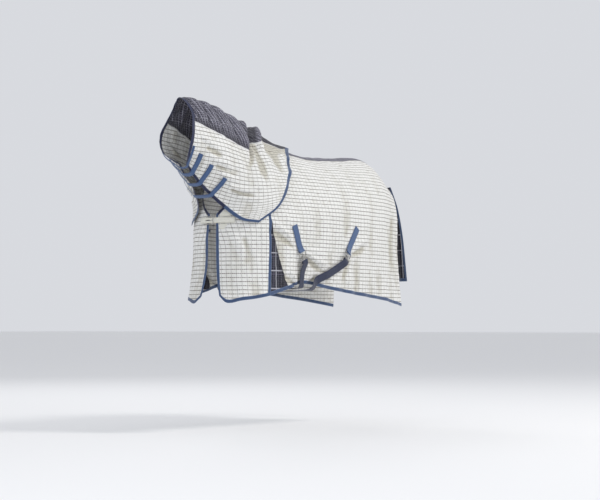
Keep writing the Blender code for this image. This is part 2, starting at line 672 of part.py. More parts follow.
def tail_border(a, b):
    """Place on the tail flap's border: a runs down the left edge, along the foot and up the right edge."""
    depth = BINDING_WIDTH / TAIL_FLAP_LENGTH * b
    inset = BINDING_WIDTH / TAIL_FLAP_HALF * b
    if a <= 0.4:
        return blend(0.0, 1.0 - depth, a / 0.4), 1.0 - inset
    if a >= 0.6:
        return blend(1.0 - depth, 0.0, (a - 0.6) / 0.4), -1.0 + inset
    return 1.0 - depth, blend(1.0 - inset, -1.0 + inset, (a - 0.4) / 0.2)


def build_tail_flap():
    gap = 0.0012
    foot = 1 - (BINDING_WIDTH + gap) / TAIL_FLAP_LENGTH
    inset = 1 - (BINDING_WIDTH + gap) / TAIL_FLAP_HALF - 0.02
    downs = np.linspace(0.0, foot, 11)
    acrosses = np.linspace(-inset, inset, 7)
    grids = []
    for depth in (0.0, CLOTH):
        grids.append([[tail_point(a, b) - (0, depth, 0) for b in acrosses] for a in downs])
    slab("tail_flap", grids[0], grids[1], PLAID)
    raised = (BINDING_THICK - CLOTH) / 2
    grids = []
    for depth in (-raised, BINDING_THICK - raised):
        grids.append([[tail_point(*tail_border(i / 30, j)) - (0, depth, 0) for j in (0, 1)] for i in range(31)])
    slab("tail_flap_binding", grids[0], grids[1], BLUE)
    hang("tail_flap_lift", TAIL_HINGE, (1, 0, 0), ["tail_flap", "tail_flap_binding"])


# ---------------------------------------------------------------- neck cover
def cover_stations(s, metres, t):
    """The change of station that moves this many metres along the cover."""
    length = np.linalg.norm(cover_point(s + 0.01, t) - cover_point(s, t))
    return metres / length * 0.01


def cover_edge(s):
    """Share at which the cloth ends and the front edge's binding begins."""
    return share_for(cover_point, s, BINDING_WIDTH, 1.0, -0.004)


def crest_share(s):
    """Share of the side that is plaid: even along the neck, less and less over the withers."""
    behind = max(s - NOTCH_STATION, 0.0) / (CAPE_STATION - NOTCH_STATION)
    return blend(CREST_SHARE, WITHERS_SHARE, min(behind, 1.0))


def build_cover(side, hand):
    raised = (BINDING_THICK - CLOTH) / 2
    face = cover_stations(0.0, BINDING_WIDTH, 0.5)
    rear = CAPE_STATION - cover_stations(4.9, BINDING_WIDTH, 0.6)
    seam = 0.010
    start = 0.006

    def face_edge(a, b):
        return blend(0.0, face, b), blend(start, 1.0, a)

    def neck_side(a, b):
        s = blend(face + seam, rear - seam, a)
        piping = share_for(cover_point, s, PIPING_WIDTH, crest_share(s))
        return s, blend(piping + 0.004, cover_edge(s) - 0.004, b)

    def piping(a, b):
        s = blend(face + seam, rear - seam, a)
        top = crest_share(s)
        return s, blend(top + 0.002, share_for(cover_point, s, PIPING_WIDTH, top), b)

    def throat(a, b):
        s = blend(face + seam, CAPE_FRONT_STATION - seam / 2, a)
        return s, blend(cover_edge(s), 1.0, b)

    def cape(a, b):
        corner = 0.5
        if a <= corner:
            s = blend(CAPE_FRONT_STATION + seam / 2, blend(rear, CAPE_STATION, b), a / corner)
            return s, blend(cover_edge(s), 1.0, b)
        top = blend(cover_edge(CAPE_STATION), 1.0, b)
        return blend(rear, CAPE_STATION, b), blend(top, start, (a - corner) / (1 - corner))

    panel(f"face_binding_{hand}", cover_point, face_edge, 14, 1, side, BLUE, raised, BINDING_THICK)
    panel(f"neck_side_{hand}", cover_point, neck_side, 22, 10, side, CREAM)
    panel(f"crest_piping_{hand}", cover_point, piping, 22, 1, side, CREAM_WEBBING, raised, BINDING_THICK)
    panel(f"throat_binding_{hand}", cover_point, throat, 14, 1, side, BLUE, raised, BINDING_THICK)
    panel(f"cape_binding_{hand}", cover_point, cape, 32, 1, side, BLUE, raised, BINDING_THICK)


def build_crest():
    """The gathered plaid over the crest, split by the crease in front of the withers."""
    face = cover_stations(0.0, BINDING_WIDTH, 0.5)
    rear = CAPE_STATION - cover_stations(4.9, BINDING_WIDTH, 0.6)
    seam = 0.010

    def neck(a, b):
        s = blend(face + seam * 2, NOTCH_STATION - 0.04, a)
        return s, crest_share(s) * (2 * b - 1)

    def withers(a, b):
        s = blend(NOTCH_STATION + 0.04, rear - seam, a)
        return s, crest_share(s) * (2 * b - 1)

    panel("neck_crest", cover_point, neck, 16, 10, 1, PLAID)
    panel("withers_crest", cover_point, withers, 10, 8, 1, PLAID)

    pieces = ["neck_crest", "withers_crest"]
    for kind in ("face_binding", "neck_side", "crest_piping", "throat_binding", "cape_binding"):
        pieces += [f"{kind}_left", f"{kind}_right"]
    hang("neck_raise", NECK_PIVOT, (-1, 0, 0), pieces)


def build_throat_strap(number, station, share, width):
    """Hook and loop strap from the left side of the throat's opening round to the right side."""
    shares = [blend(share, 0.985, k / 6) for k in range(7)]
    left = [on_surface(cover_point, station, t, 1, THROAT_STRAP_LIFT) for t in shares]
    right = [on_surface(cover_point, station, t, -1, THROAT_STRAP_LIFT) for t in reversed(shares)]
    middle = (left[-1] + right[0]) / 2
    onward = left[-1] - left[-2]
    onward[0] = 0.0
    middle = middle + onward * 0.35
    path = left + [middle] + right
    faces = []
    for point in path:
        faces.append(point - np.array([0.0, middle[1] + 0.10, middle[2] + 0.12]))
    path = smooth_path(path, 2)
    faces = smooth_path(faces, 2)
    strip(f"throat_strap_{number}", path, faces, width, THROAT_STRAP_THICK, WEBBING)
    ahead, behind = (on_surface(cover_point, station + step, share, -1, 0) for step in (0.05, -0.05))
    along = ahead - behind
    hang(f"throat_strap_{number}_open", path[-1], along, [f"throat_strap_{number}"])


# ---------------------------------------------------------------- start
for old in list(bpy.data.objects):
    bpy.data.objects.remove(old, do_unlink=True)

for side_sign, side_name in ((1, "left"), (-1, "right")):
    build_rug(side_sign, side_name)
    build_cover(side_sign, side_name)
build_spine()
build_crest()
build_chest()
build_tail_flap()
build_surcingle("front", FRONT_PATCH, REAR_PATCH, FRONT_ROUTE)
build_surcingle("rear", REAR_PATCH, FRONT_PATCH, REAR_ROUTE)
for strap_number, (strap_station, strap_share, strap_width) in enumerate(THROAT_STRAPS, 1):
    build_throat_strap(strap_number, strap_station, strap_share, strap_width)
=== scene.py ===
# %% [markdown]
# A horse fly sheet with a neck cover, as worn.  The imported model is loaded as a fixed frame: it gives every
# fitting and joint.  Each plain cloth solid is replaced here by a fine shell of the same cut, with folds,
# gathers, rolled bindings and stitching.  Lengths are metres; the horse faces -Y and its left side is +X.

# %% Load the frame
import math

import bmesh
import bpy
import numpy as np
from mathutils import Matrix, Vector


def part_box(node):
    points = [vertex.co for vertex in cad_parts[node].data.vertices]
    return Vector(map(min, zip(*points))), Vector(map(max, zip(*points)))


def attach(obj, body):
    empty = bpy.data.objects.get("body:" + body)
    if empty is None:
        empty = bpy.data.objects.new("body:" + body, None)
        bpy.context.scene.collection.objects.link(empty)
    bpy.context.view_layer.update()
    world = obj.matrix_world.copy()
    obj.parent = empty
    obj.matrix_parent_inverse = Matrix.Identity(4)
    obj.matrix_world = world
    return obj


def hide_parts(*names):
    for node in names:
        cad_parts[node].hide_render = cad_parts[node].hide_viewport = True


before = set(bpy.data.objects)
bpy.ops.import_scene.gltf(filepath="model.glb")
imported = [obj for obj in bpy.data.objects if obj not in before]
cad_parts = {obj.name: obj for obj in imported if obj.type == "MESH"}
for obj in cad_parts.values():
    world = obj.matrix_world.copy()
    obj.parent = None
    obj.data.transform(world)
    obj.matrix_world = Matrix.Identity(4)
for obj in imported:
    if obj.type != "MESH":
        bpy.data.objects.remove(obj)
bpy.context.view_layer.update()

# %% [markdown]
# The sheet is sewn from flat panels, but worn it takes the shape of the animal.  Two smooth surfaces hold
# that shape: the rug and the neck cover.  Each is a curve through stations, so a few rows of points are
# enough, and every panel, seam and binding is a region of one of them.  Modelling each panel on its own
# would leave gaps at the seams.

# %% The stations of the two surfaces
# Rug: top edge, widest point and hem of each station, then how peaked its back is.
RUG_STATIONS = [
    ((0.022, -0.962, -0.365), (0.030, -0.972, -0.590), (0.062, -0.985, -0.800), 1.0),
    ((0.062, -0.952, -0.325), (0.095, -0.958, -0.560), (0.115, -0.982, -0.838), 1.0),
    ((0.108, -0.915, -0.255), (0.165, -0.920, -0.520), (0.180, -0.946, -0.826), 1.0),
    ((0.132, -0.855, -0.160), (0.222, -0.862, -0.480), (0.230, -0.892, -0.816), 1.1),
    ((0.130, -0.775, -0.070), (0.258, -0.795, -0.440), (0.262, -0.812, -0.800), 1.3),
    ((0.000, -0.610, 0.050), (0.286, -0.680, -0.400), (0.280, -0.645, -0.758), 1.7),
    ((0.000, -0.480, 0.035), (0.300, -0.520, -0.380), (0.266, -0.510, -0.729), 1.6),
    ((0.000, -0.230, 0.003), (0.318, -0.270, -0.360), (0.290, -0.290, -0.758), 1.25),
    ((0.000, 0.060, 0.015), (0.312, 0.020, -0.330), (0.300, -0.010, -0.788), 1.05),
    ((0.000, 0.360, 0.030), (0.278, 0.270, -0.300), (0.288, 0.260, -0.812), 1.0),
    ((0.000, 0.610, -0.100), (0.225, 0.485, -0.340), (0.252, 0.492, -0.842), 1.0),
]
# Cover: five points from the crest down to the throat or front edge.
COVER_STATIONS = [
    ((0.0, -1.235, 0.228), (0.070, -1.222, 0.150), (0.110, -1.258, 0.040),
     (0.090, -1.262, -0.055), (0.020, -1.205, -0.118)),
    ((0.0, -1.105, 0.222), (0.080, -1.120, 0.130), (0.124, -1.150, 0.005),
     (0.098, -1.165, -0.095), (0.024, -1.150, -0.180)),
    ((0.0, -0.970, 0.203), (0.094, -0.995, 0.100), (0.150, -1.030, -0.050),
     (0.122, -1.060, -0.165), (0.036, -1.070, -0.250)),
    ((0.0, -0.800, 0.155), (0.112, -0.845, 0.050), (0.188, -0.885, -0.110),
     (0.172, -0.940, -0.240), (0.085, -0.976, -0.335)),
    ((0.0, -0.632, 0.130), (0.124, -0.680, 0.015), (0.224, -0.765, -0.150),
     (0.238, -0.836, -0.290), (0.165, -0.934, -0.397)),
    ((0.0, -0.330, 0.034), (0.126, -0.455, 0.004), (0.234, -0.590, -0.166),
     (0.283, -0.735, -0.312), (0.233, -0.863, -0.412)),
]
WITHERS = 5.0      # rug station from which its two sides meet over the spine
REAR = 10.0        # the rug's last station
GUSSET = 4.0       # rug station of the shoulder gusset's front seam
GUSSET_SPREAD = 0.95   # stations that the gusset opens by at the hem
GUSSET_APEX = 0.38     # share at which the gusset begins
NOTCH = 3.68       # cover station of the deep crease in front of the withers, on the ridge
NOTCH_LEAN = 1.2   # stations that the crease goes forward for each share down the side
CAPE = 5.0         # the cover's last station
CAPE_FRONT = 3.0   # where the dark throat binding ends and the cape's blue one begins
CREST = 0.36       # share of the cover's side that the plaid crest takes
TAPE = 0.020       # width of a binding


# %% Smooth curves through the stations
def through(points, u):
    """The smooth curve through points (K, 3), or (K, n, 3) with a row for each u, at parameters u (n)."""
    points = np.asarray(points, float)
    if points.ndim == 2:
        points = np.repeat(points[:, None], len(u), axis=1)
    points = np.concatenate([2 * points[:1] - points[1:2], points, 2 * points[-1:] - points[-2:-1]])
    first = np.clip(np.floor(u).astype(int), 0, len(points) - 4)
    each = np.arange(len(u))
    a, b, c, d = (points[first + k, each] for k in range(4))
    f = (u - first)[:, None]
    return 0.5 * (2 * b + (c - a) * f + (2 * a - 5 * b + 4 * c - d) * f**2 + (3 * b - a - 3 * c + d) * f**3)


def ease(x):
    """0 below 0, 1 above 1 and smooth between."""
    x = np.clip(x, 0.0, 1.0)
    return x * x * (3 - 2 * x)


def rug_base(s, t):
    """The rug's left side without folds, at station s, from the top edge (t = 0) to the hem (t = 1)."""
    top, wide, hem = (through([row[k] for row in RUG_STATIONS], s) for k in range(3))
    peak = through([(row[3],) for row in RUG_STATIONS], s)[:, 0]
    top[s >= WITHERS, 0] = 0.0
    turn = np.pi * np.minimum(t, 0.5)
    arch = np.clip((s - 3.6) / 1.4, 0, 1)
    drop = (1 - 2 * np.minimum(t, 0.5)) * (1 - arch) + np.maximum(np.cos(turn), 0) ** peak * arch
    upper = top + (wide - top) * np.sin(turn)[:, None]
    upper[:, 2] = wide[:, 2] + (top[:, 2] - wide[:, 2]) * drop
    q = (np.maximum(t, 0.5) - 0.5)[:, None] * 2
    lower = wide + (hem - wide) * q**2
    lower[:, 2:] = wide[:, 2:] + (hem[:, 2:] - wide[:, 2:]) * q
    return np.where((t <= 0.5)[:, None], upper, lower)


def cover_base(s, t):
    """The neck cover's left side without folds, from the crest (t = 0) to the front edge (t = 1)."""
    rows = [through([station[k] for station in COVER_STATIONS], s) for k in range(5)]
    rows.insert(0, rows[1] * (-1, 1, 1))
    point = through(rows, 1 + 4 * t)
    point[:, 0] = np.maximum(point[:, 0], 0.0)
    return point


# %% [markdown]
# Cloth hangs by its threads, so the check must follow the cloth and not the room.  A table for each surface
# measures how far every point lies along and down the cloth.  These two lengths become the UV map of every
# panel, which keeps the squares square, and the folds are placed with them too.

# %% Measure the cloth
ROWS_PER_STATION, SHARES = 30, 121


class Cloth:
    """A surface with tables of the lengths along and down its cloth."""

    def __init__(self, base, stations, anchor, level, level_from):
        self.base = base
        self.s = np.linspace(0, stations, ROWS_PER_STATION * stations + 1)
        self.t = np.linspace(0, 1, SHARES)
        grid = base(np.repeat(self.s, SHARES), np.tile(self.t, len(self.s))).reshape(-1, SHARES, 3)
        steps = np.linalg.norm(np.diff(grid, axis=1), axis=2)
        self.down = np.pad(np.cumsum(steps, axis=1), ((0, 0), (1, 0)))
        steps = np.linalg.norm(np.diff(grid[:, :, :2], axis=0), axis=2)
        along = np.pad(np.cumsum(steps, axis=0), ((1, 0), (0, 0)))
        at = int(round(anchor * ROWS_PER_STATION))
        self.along = along - along[at] + grid[at, :, 1]
        lines = np.array([np.interp(-level, -z, gone) for z, gone in zip(grid[:, :, 2], self.down)])
        first = int(round(level_from * ROWS_PER_STATION))
        lines[:first] = lines[first]
        self.height = level - (self.down - lines[:, None])

    def look_up(self, table, s, t):
        """A table's value at s and t, straight between its rows and columns."""
        x = np.clip(s, 0, self.s[-1] - 1e-6) * ROWS_PER_STATION
        y = np.clip(t, 0, 1 - 1e-6) * (SHARES - 1)
        i, j = x.astype(int), y.astype(int)
        f, g = x - i, y - j
        return (table[i, j] * (1 - f) * (1 - g) + table[i + 1, j] * f * (1 - g)
                + table[i, j + 1] * (1 - f) * g + table[i + 1, j + 1] * f * g)

    def share(self, s, metres):
        """The share reached by going this many metres down from the top, or up from the hem if negative."""
        goal = [np.interp(metres if metres > 0 else row[-1] + metres, row, self.t) for row in self.down]
        return np.interp(s, self.s, goal)


rug_cloth = Cloth(rug_base, 10, anchor=7, level=-0.55, level_from=0)
cover_cloth = Cloth(cover_base, 5, anchor=NOTCH, level=-0.15, level_from=3.5)
print("rug", round(float(rug_cloth.down[-1, -1]), 3), "m from spine to hem at the tail")

# %% [markdown]
# Folds are short waves of the cloth.  A tension fold starts sharp where a strap or ring pulls and widens as
# it dies out, so each is a line with a width and a height in the cloth's own lengths.  Slow waves hang from
# the back.  They could come from a cloth simulation, but then they would fall in other places, while here
# each fold lies where the straps pull.

# %% Folds of the rug and the cover
# Start (along, height), end (along, height), width, lift; negative lift is a valley.
RUG_FOLDS = [
    (-0.565, -0.535, -0.850, -0.365, 0.016, 0.0100), (-0.575, -0.560, -0.850, -0.430, 0.015, -0.0080),
    (-0.560, -0.515, -0.760, -0.290, 0.018, 0.0060), (-0.545, -0.555, -0.270, -0.655, 0.016, 0.0100),
    (-0.545, -0.575, -0.300, -0.700, 0.016, -0.0080), (-0.540, -0.535, -0.330, -0.575, 0.018, 0.0050),
    (-0.575, -0.735, -0.690, -0.640, 0.014, 0.0090), (-0.575, -0.750, -0.720, -0.690, 0.012, -0.0080),
    (-0.520, -0.735, -0.420, -0.640, 0.016, 0.0080), (-0.500, -0.735, -0.370, -0.690, 0.014, -0.0060),
    (-0.145, -0.545, 0.110, -0.425, 0.018, 0.0080), (-0.150, -0.570, 0.080, -0.500, 0.018, -0.0070),
    (-0.140, -0.530, 0.060, -0.340, 0.020, 0.0060), (-0.160, -0.585, -0.330, -0.745, 0.022, 0.0090),
    (-0.130, -0.575, -0.200, -0.740, 0.022, -0.0050), (0.060, -0.250, 0.030, -0.480, 0.035, 0.0060),
    (0.250, -0.200, 0.220, -0.700, 0.045, 0.0060), (0.400, -0.300, 0.360, -0.760, 0.040, -0.0060),
    (-0.100, -0.800, -0.130, -0.640, 0.035, 0.0050), (-1.020, -0.420, -0.940, -0.620, 0.022, 0.0070),
    (-0.950, -0.480, -0.900, -0.700, 0.025, -0.0050),
]
COVER_FOLDS = [
    (-1.215, -0.010, -1.060, -0.060, 0.016, 0.0070), (-1.180, -0.060, -1.040, -0.110, 0.016, -0.0070),
    (-1.150, -0.110, -0.990, -0.140, 0.018, 0.0075), (-1.110, -0.150, -0.960, -0.190, 0.016, -0.0060),
    (-1.090, -0.180, -0.930, -0.215, 0.018, 0.0070), (-1.020, -0.240, -0.860, -0.262, 0.016, 0.0090),
    (-1.010, -0.262, -0.850, -0.290, 0.014, -0.0080), (-0.960, -0.300, -0.800, -0.310, 0.018, 0.0050),
    (-0.770, 0.060, -0.800, -0.200, 0.026, -0.0120), (-0.715, 0.075, -0.720, -0.180, 0.028, 0.0100),
    (-0.640, 0.060, -0.640, -0.160, 0.026, -0.0080), (-0.560, 0.040, -0.590, -0.200, 0.024, 0.0080),
    (-0.500, 0.000, -0.610, -0.130, 0.018, -0.0070), (-0.470, -0.030, -0.600, -0.170, 0.016, 0.0060),
]
chance = np.random.default_rng(11)


def waves(count, shortest, longest, upright):
    """Random slow waves: two frequencies, a phase and a size each; upright ones run down the cloth."""
    length = chance.uniform(shortest, longest, count)
    lean = chance.normal(0.0, upright, count)
    return [(math.cos(a) / w, math.sin(a) / w, chance.uniform(0, 2 * math.pi)) for a, w in zip(lean, length)]


HANGING = waves(7, 0.11, 0.30, 0.25)
CRUMPLES = waves(14, 0.030, 0.070, 1.2)
HANG_HEIGHT, CRUMPLE_HEIGHT = 0.0006, 0.00022
PUFF_HEIGHT, PLEAT_HEIGHT = 0.018, 0.0022            # of the gathered crest
CREASE_DEPTH, LIP_HEIGHT, SETTLE_DEPTH = 0.026, 0.036, 0.030
PUFF_STATIONS = 0.72                                 # from one puff to the next


def rippled(waves_used, u, v):
    """The sum of some slow waves at lengths u along and v up the cloth."""
    return sum(np.sin(2 * np.pi * (u * fu + v * fv) + phase) for fu, fv, phase in waves_used)


def folded(u, v, folds):
    """How far the cloth stands out because of a list of folds."""
    lift = np.zeros_like(u)
    for u0, v0, u1, v1, width, height in folds:
        du, dv = u1 - u0, v1 - v0
        length = math.hypot(du, dv)
        way = ((u - u0) * du + (v - v0) * dv) / length**2
        off = ((u - u0) * dv - (v - v0) * du) / length
        fade = ease(way / 0.12) * ease((1 - way) / 0.5)
        lift += height * fade * np.exp(-((off / (width * (0.6 + 0.8 * np.clip(way, 0, 1)))) ** 2))
    return lift


# Lines along and up the cloth where straps are sewn flat (SEWN_ENDS) or pass over it (STRAP_RUNS), per side.
SEWN_ENDS = {
    1: [(-0.627, -0.417, -0.576, -0.545), (-0.067, -0.406, -0.158, -0.538)],
    -1: [tuple(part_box(f"{end}_surcingle_anchor")[k][axis] for k in (0, 1) for axis in (1, 2))
         for end in ("front", "rear")],
}
CALM_NEAR, CALM_FADE = 0.034, 0.040    # flat this near a strap, then folded again within this
STRAP_RUNS = {
    1: [(-0.576, -0.545, -0.548, -0.662), (-0.548, -0.662, -0.550, -0.760), (-0.158, -0.538, -0.262, -0.638),
        (-0.262, -0.638, -0.420, -0.708), (-0.420, -0.708, -0.470, -0.760)],
    -1: [(-0.425, -0.705, -0.205, -0.598), (-0.425, -0.705, -0.470, -0.760),
         (-0.555, -0.610, -0.555, -0.760)],
}


def calm(u, v, lines_used):
    """0 where a strap lies along one of the lines, 1 away from it."""
    share = np.ones_like(u)
    for u0, v0, u1, v1 in lines_used:
        du, dv = u1 - u0, v1 - v0
        way = np.clip(((u - u0) * du + (v - v0) * dv) / (du * du + dv * dv), 0, 1)
        off = np.hypot(u - u0 - way * du, v - v0 - way * dv)
        share = share * ease((off - CALM_NEAR) / CALM_FADE)
    return share


def rug_lift(s, t, u, v, side):
    """The rug's folds; both sides are the same at the spine."""
    near_spine = np.where(s >= WITHERS - 0.5, ease(t / 0.12), 1.0)
    lift = folded(u, v, RUG_FOLDS) * (1.35 if side > 0 else 1.0)
    shift = 0.0 if side > 0 else 0.37
    lift = lift + rippled(HANGING, u + shift, v) * HANG_HEIGHT * (0.4 + 1.6 * ease(t))
    lift = lift + rippled(CRUMPLES, u + shift, v) * CRUMPLE_HEIGHT
    lift = lift * calm(u, v, SEWN_ENDS[side])
    lift = np.where(lift > 0, lift * calm(u, v, STRAP_RUNS[side]), lift)
    spine = rippled(HANGING, u * 2.5, v * 0) * HANG_HEIGHT
    return spine * (1 - near_spine) + lift * near_spine


def crest_at(s):
    """Share of the cover's side that the plaid takes: less behind the crease than in front of it."""
    behind = ease((s - NOTCH + NOTCH_LEAN * CREST) / 0.16)
    return CREST - 0.12 * behind - 0.08 * ease((s - 3.75) / 0.4) + 0.03 * ease((s - 4.3) / 0.5)


def cover_lift(s, t, u, v, side):
    """The cover's folds: puffs along the crest, the crease before the withers and the pull of the straps."""
    near_crest = ease(t / 0.10)
    lift = folded(u, v, COVER_FOLDS) * 1.25
    lift = lift + rippled(HANGING, u * 1.3 + side, v) * HANG_HEIGHT
    lift = lift + rippled(CRUMPLES, u + side, v) * CRUMPLE_HEIGHT
    crest = crest_at(s)
    down = np.clip(t / crest, 0, 1)
    sweep = (s - 0.483 * np.sqrt(down)) / PUFF_STATIONS
    puff = np.abs(np.sin(np.pi * sweep)) ** 0.7
    held = np.where(t < crest, (1 - ease((down - 0.70) / 0.30)) * (0.35 + 0.65 * ease(down / 0.25)), 0.0)
    held = held * ease((s - 0.1) / 0.2) * np.where(s < NOTCH - 0.3, 1.0, 0.4)
    pleats = np.abs(np.sin(np.pi * sweep * 6)) * PLEAT_HEIGHT * np.where(t < crest, 1 - 0.3 * down, 0.0)
    across = s + NOTCH_LEAN * t
    crease = -CREASE_DEPTH * np.exp(-(((across - NOTCH) / 0.10) ** 2)) * (1 - ease((t - 0.34) / 0.22))
    lips = LIP_HEIGHT * np.exp(-(((across - NOTCH - 0.42) / 0.15) ** 2)) * (1 - ease((t - 0.15) / 0.3))
    settled = -SETTLE_DEPTH * ease((s - 3.3) / 0.4) * (1 - 0.62 * ease((s - 4.3) / 0.7))
    settled = settled * (1 - ease(t / 0.42))
    return (lift + pleats) * near_crest + puff * held * PUFF_HEIGHT + crease + lips + settled


# %% The two finished surfaces
def outside(cloth, lift_of, s, t, side, lift=0.0):
    """Points of the folded cloth, raised by lift; a share below 0 lies on the other side of the ridge."""
    s, t = np.asarray(s, float), np.asarray(t, float)
    sides = np.where(t < 0, -side, side)
    t = np.abs(t)
    step = 0.02
    here = cloth.base(s, t)
    ridge = (t < 0.004) & (here[:, 0] < 0.0001)
    along = cloth.base(s + step, np.maximum(t, 0.004)) - cloth.base(s - step, np.maximum(t, 0.004))
    down = cloth.base(s, t + step) - here
    down[ridge] = (1.0, 0.0, 0.0)
    along[ridge, 0] = 0.0
    normal = np.cross(down, along)
    normal /= np.linalg.norm(normal, axis=1)[:, None]
    u, v = cloth.look_up(cloth.along, s, t), cloth.look_up(cloth.height, s, t)
    stands = lift_of(s, t, u, v, side)
    point = here + normal * (stands + lift)[:, None]
    point[ridge, 0] = 0.0
    point[:, 0] = point[:, 0] * sides
    return point, u, v, stands


def rug(s, t, side, lift=0.0):
    return outside(rug_cloth, rug_lift, s, t, side, lift)


def cover(s, t, side, lift=0.0):
    return outside(cover_cloth, cover_lift, s, t, side, lift)


# %% [markdown]
# Each panel is one closed shell: an outer and an inner grid of points with a rim between them.  Making both
# grids in code keeps the thread lengths in the UV map and keeps neighbouring panels on the same folds.  A
# solidify modifier on one grid would do as well, but it has no say in how a binding rounds its edges.

# %% Helpers that make a shell
def shell(name, outer, inner, uv, painted_crease_shade=None):
    """A closed shell between two grids of points (rows, columns, 3), with a UV in metres for each point."""
    rows, columns = outer.shape[:2]
    count = rows * columns
    index = np.arange(count).reshape(rows, columns)
    a, b, c, d = index[:-1, :-1], index[1:, :-1], index[1:, 1:], index[:-1, 1:]
    faces = np.stack([a, b, c, d], axis=-1).reshape(-1, 4)
    rim = np.concatenate([index[:, 0], index[-1, 1:], index[-2::-1, -1], index[0, -2:0:-1]])
    after = np.roll(rim, -1)
    sides = np.stack([rim, after, after + count, rim + count], axis=-1)
    faces = np.concatenate([faces, faces[:, ::-1] + count, sides[:, ::-1]])
    points = np.concatenate([outer.reshape(-1, 3), inner.reshape(-1, 3)])
    x, y, z = (points[faces[:, k]] for k in range(3))
    if np.einsum("ij,ij->i", x, np.cross(y, z)).sum() < 0:
        faces = faces[:, ::-1]
    mesh = bpy.data.meshes.new(name)
    mesh.from_pydata(points.tolist(), [], faces.tolist())
    layer = mesh.uv_layers.new(name="cloth")
    both = np.concatenate([uv.reshape(-1, 2)] * 2)
    layer.data.foreach_set("uv", both[faces.ravel()].astype(np.float32).ravel())
    # A layer of painted shade: how far each point sinks into a fold, so that the finishes darken the creases.
    mottle_and_painted_shade = mesh.attributes.new("painted_crease_shade", "FLOAT", "POINT")
    shade = np.zeros(count) if painted_crease_shade is None else painted_crease_shade.reshape(-1)
    mottle_and_painted_shade.data.foreach_set("value", np.concatenate([shade, shade]).astype(np.float32))
    mesh.shade_smooth()
    mesh.set_sharp_from_angle(angle=math.radians(50))
    piece = bpy.data.objects.new(name, mesh)
    bpy.context.collection.objects.link(piece)
    return piece


def place(piece, body, slot, finish, *nodes):
    """Give a piece its material and its body, and hide the plain solids that it stands for; slot is not used.
    """
    piece.data.materials.append(finish)
    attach(piece, body)
    if nodes:
        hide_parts(*nodes)
    return piece


def region(surface, where, rows, columns, side, outer_lift, inner_lift):
    """Two grids over a region of a surface; where(a, b) gives stations and shares, a and b from 0 to 1."""
    steps = np.linspace(0, 1, rows), np.linspace(0, 1, columns)
    a, b = (x.ravel() for x in np.meshgrid(*steps, indexing="ij"))
    s, t = where(a, b)
    s, t = np.broadcast_to(s, a.shape), np.broadcast_to(t, a.shape)
    out, u, v, stands = surface(s, t, side, outer_lift(b) if callable(outer_lift) else outer_lift)
    back = surface(s, t, side, inner_lift(b) if callable(inner_lift) else inner_lift)[0]
    shape = (rows, columns)
    return out.reshape(*shape, 3), back.reshape(*shape, 3), np.stack([u, v], -1).reshape(*shape, 2), stands


def flat_size(uv):
    """Width, length and area of the flat cut, from its UV map in metres."""
    width, length = np.ptp(uv[..., 0]), np.ptp(uv[..., 1])
    one = uv[1:, 1:] - uv[:-1, :-1]
    two = uv[1:, :-1] - uv[:-1, 1:]
    area = np.abs(one[..., 0] * two[..., 1] - one[..., 1] * two[..., 0]).sum() / 2
    return (float(width), float(length)), float(min(area, width * length))


CLOTH_THICK = 0.0016
PLAIN_THICK = 0.0030   # of the plain solid that a panel stands for
BINDING_THICK = 0.0042


def panel(name, surface, where, rows, columns, side, lift=0.0, level=0.0, depth=0.006):
    """A cloth panel around the middle of its plain solid, raised by lift.

    Painted shade darkens its folds, fully where they stand depth below level.
    """
    outer_lift = lift - PLAIN_THICK / 2 + CLOTH_THICK / 2
    inner_lift = lift - PLAIN_THICK / 2 - CLOTH_THICK / 2
    outer, inner, uv, stands = region(surface, where, rows, columns, side, outer_lift, inner_lift)
    painted_crease_shade = np.clip((level - stands) / depth, 0, 1)
    piece = shell(name, outer, inner, uv, painted_crease_shade)
    piece["flat"], piece["area"] = flat_size(uv)
    return piece


def edge_length(points):
    """Length gone along the middle column of a grid, at each row."""
    middle = points[:, points.shape[1] // 2]
    steps = np.linalg.norm(np.diff(middle, axis=0), axis=1)
    return np.concatenate([[0.0], np.cumsum(steps)])


def tape(name, surface, where, rows, side, width=TAPE, thick=BINDING_THICK, columns=9):
    """A folded binding: its two long edges are round, and its stitches pucker it a little."""
    middle = -PLAIN_THICK / 2

    def half(b):
        pucker = 0.92 + 0.08 * np.cos(2 * np.pi * np.arange(len(b)) // columns / 3.0)
        return thick / 2 * np.sqrt(np.clip(1 - np.abs(2 * b - 1) ** 3.5, 0.02, 1)) * pucker

    outer, inner, _, stands = region(
        surface, where, rows, columns, side, lambda b: middle + half(b), lambda b: middle - half(b))
    gone = edge_length(outer)
    uv = np.stack(np.meshgrid(gone, np.linspace(0, width, columns), indexing="ij"), -1)
    # The binding gets painted shade where its folds sink below the surface.
    return shell(name, outer, inner, uv, np.clip(-stands / 0.006, 0, 1))


print("a panel's shell is", CLOTH_THICK * 1000, "mm thick and a binding's", BINDING_THICK * 1000, "mm")

# %% [markdown]
# The finishes are all procedural.  The mesh cloth, the plaid, the tape and the webbing read the UV map, where
# one unit is one metre of cloth, so a check of 22 mm is 22 mm on every panel and turns with the cloth.
# Painted shade darkens the valleys of the folds, and an attribute on each panel says where those are.

# %% Helpers that make a material
def node(tree, kind, values=(), **settings):
    """A shader node; values maps its inputs to sockets, which are linked, or to numbers and colours."""
    made = tree.nodes.new(kind)
    for key, value in settings.items():
        setattr(made, key, value)
    for key, value in dict(values).items():
        if isinstance(value, bpy.types.NodeSocket):
            tree.links.new(value, made.inputs[key])
        else:
            made.inputs[key].default_value = value
    return made


def calc(tree, operation, *values):
    """The result of one math step."""
    return node(tree, "ShaderNodeMath", dict(enumerate(values)), operation=operation).outputs[0]


def mixed(tree, share, a, b):
    """Colour a at share 0 and colour b at share 1."""
    made = node(tree, "ShaderNodeMix", {0: share, 6: a, 7: b}, data_type="RGBA")
    return made.outputs[2]


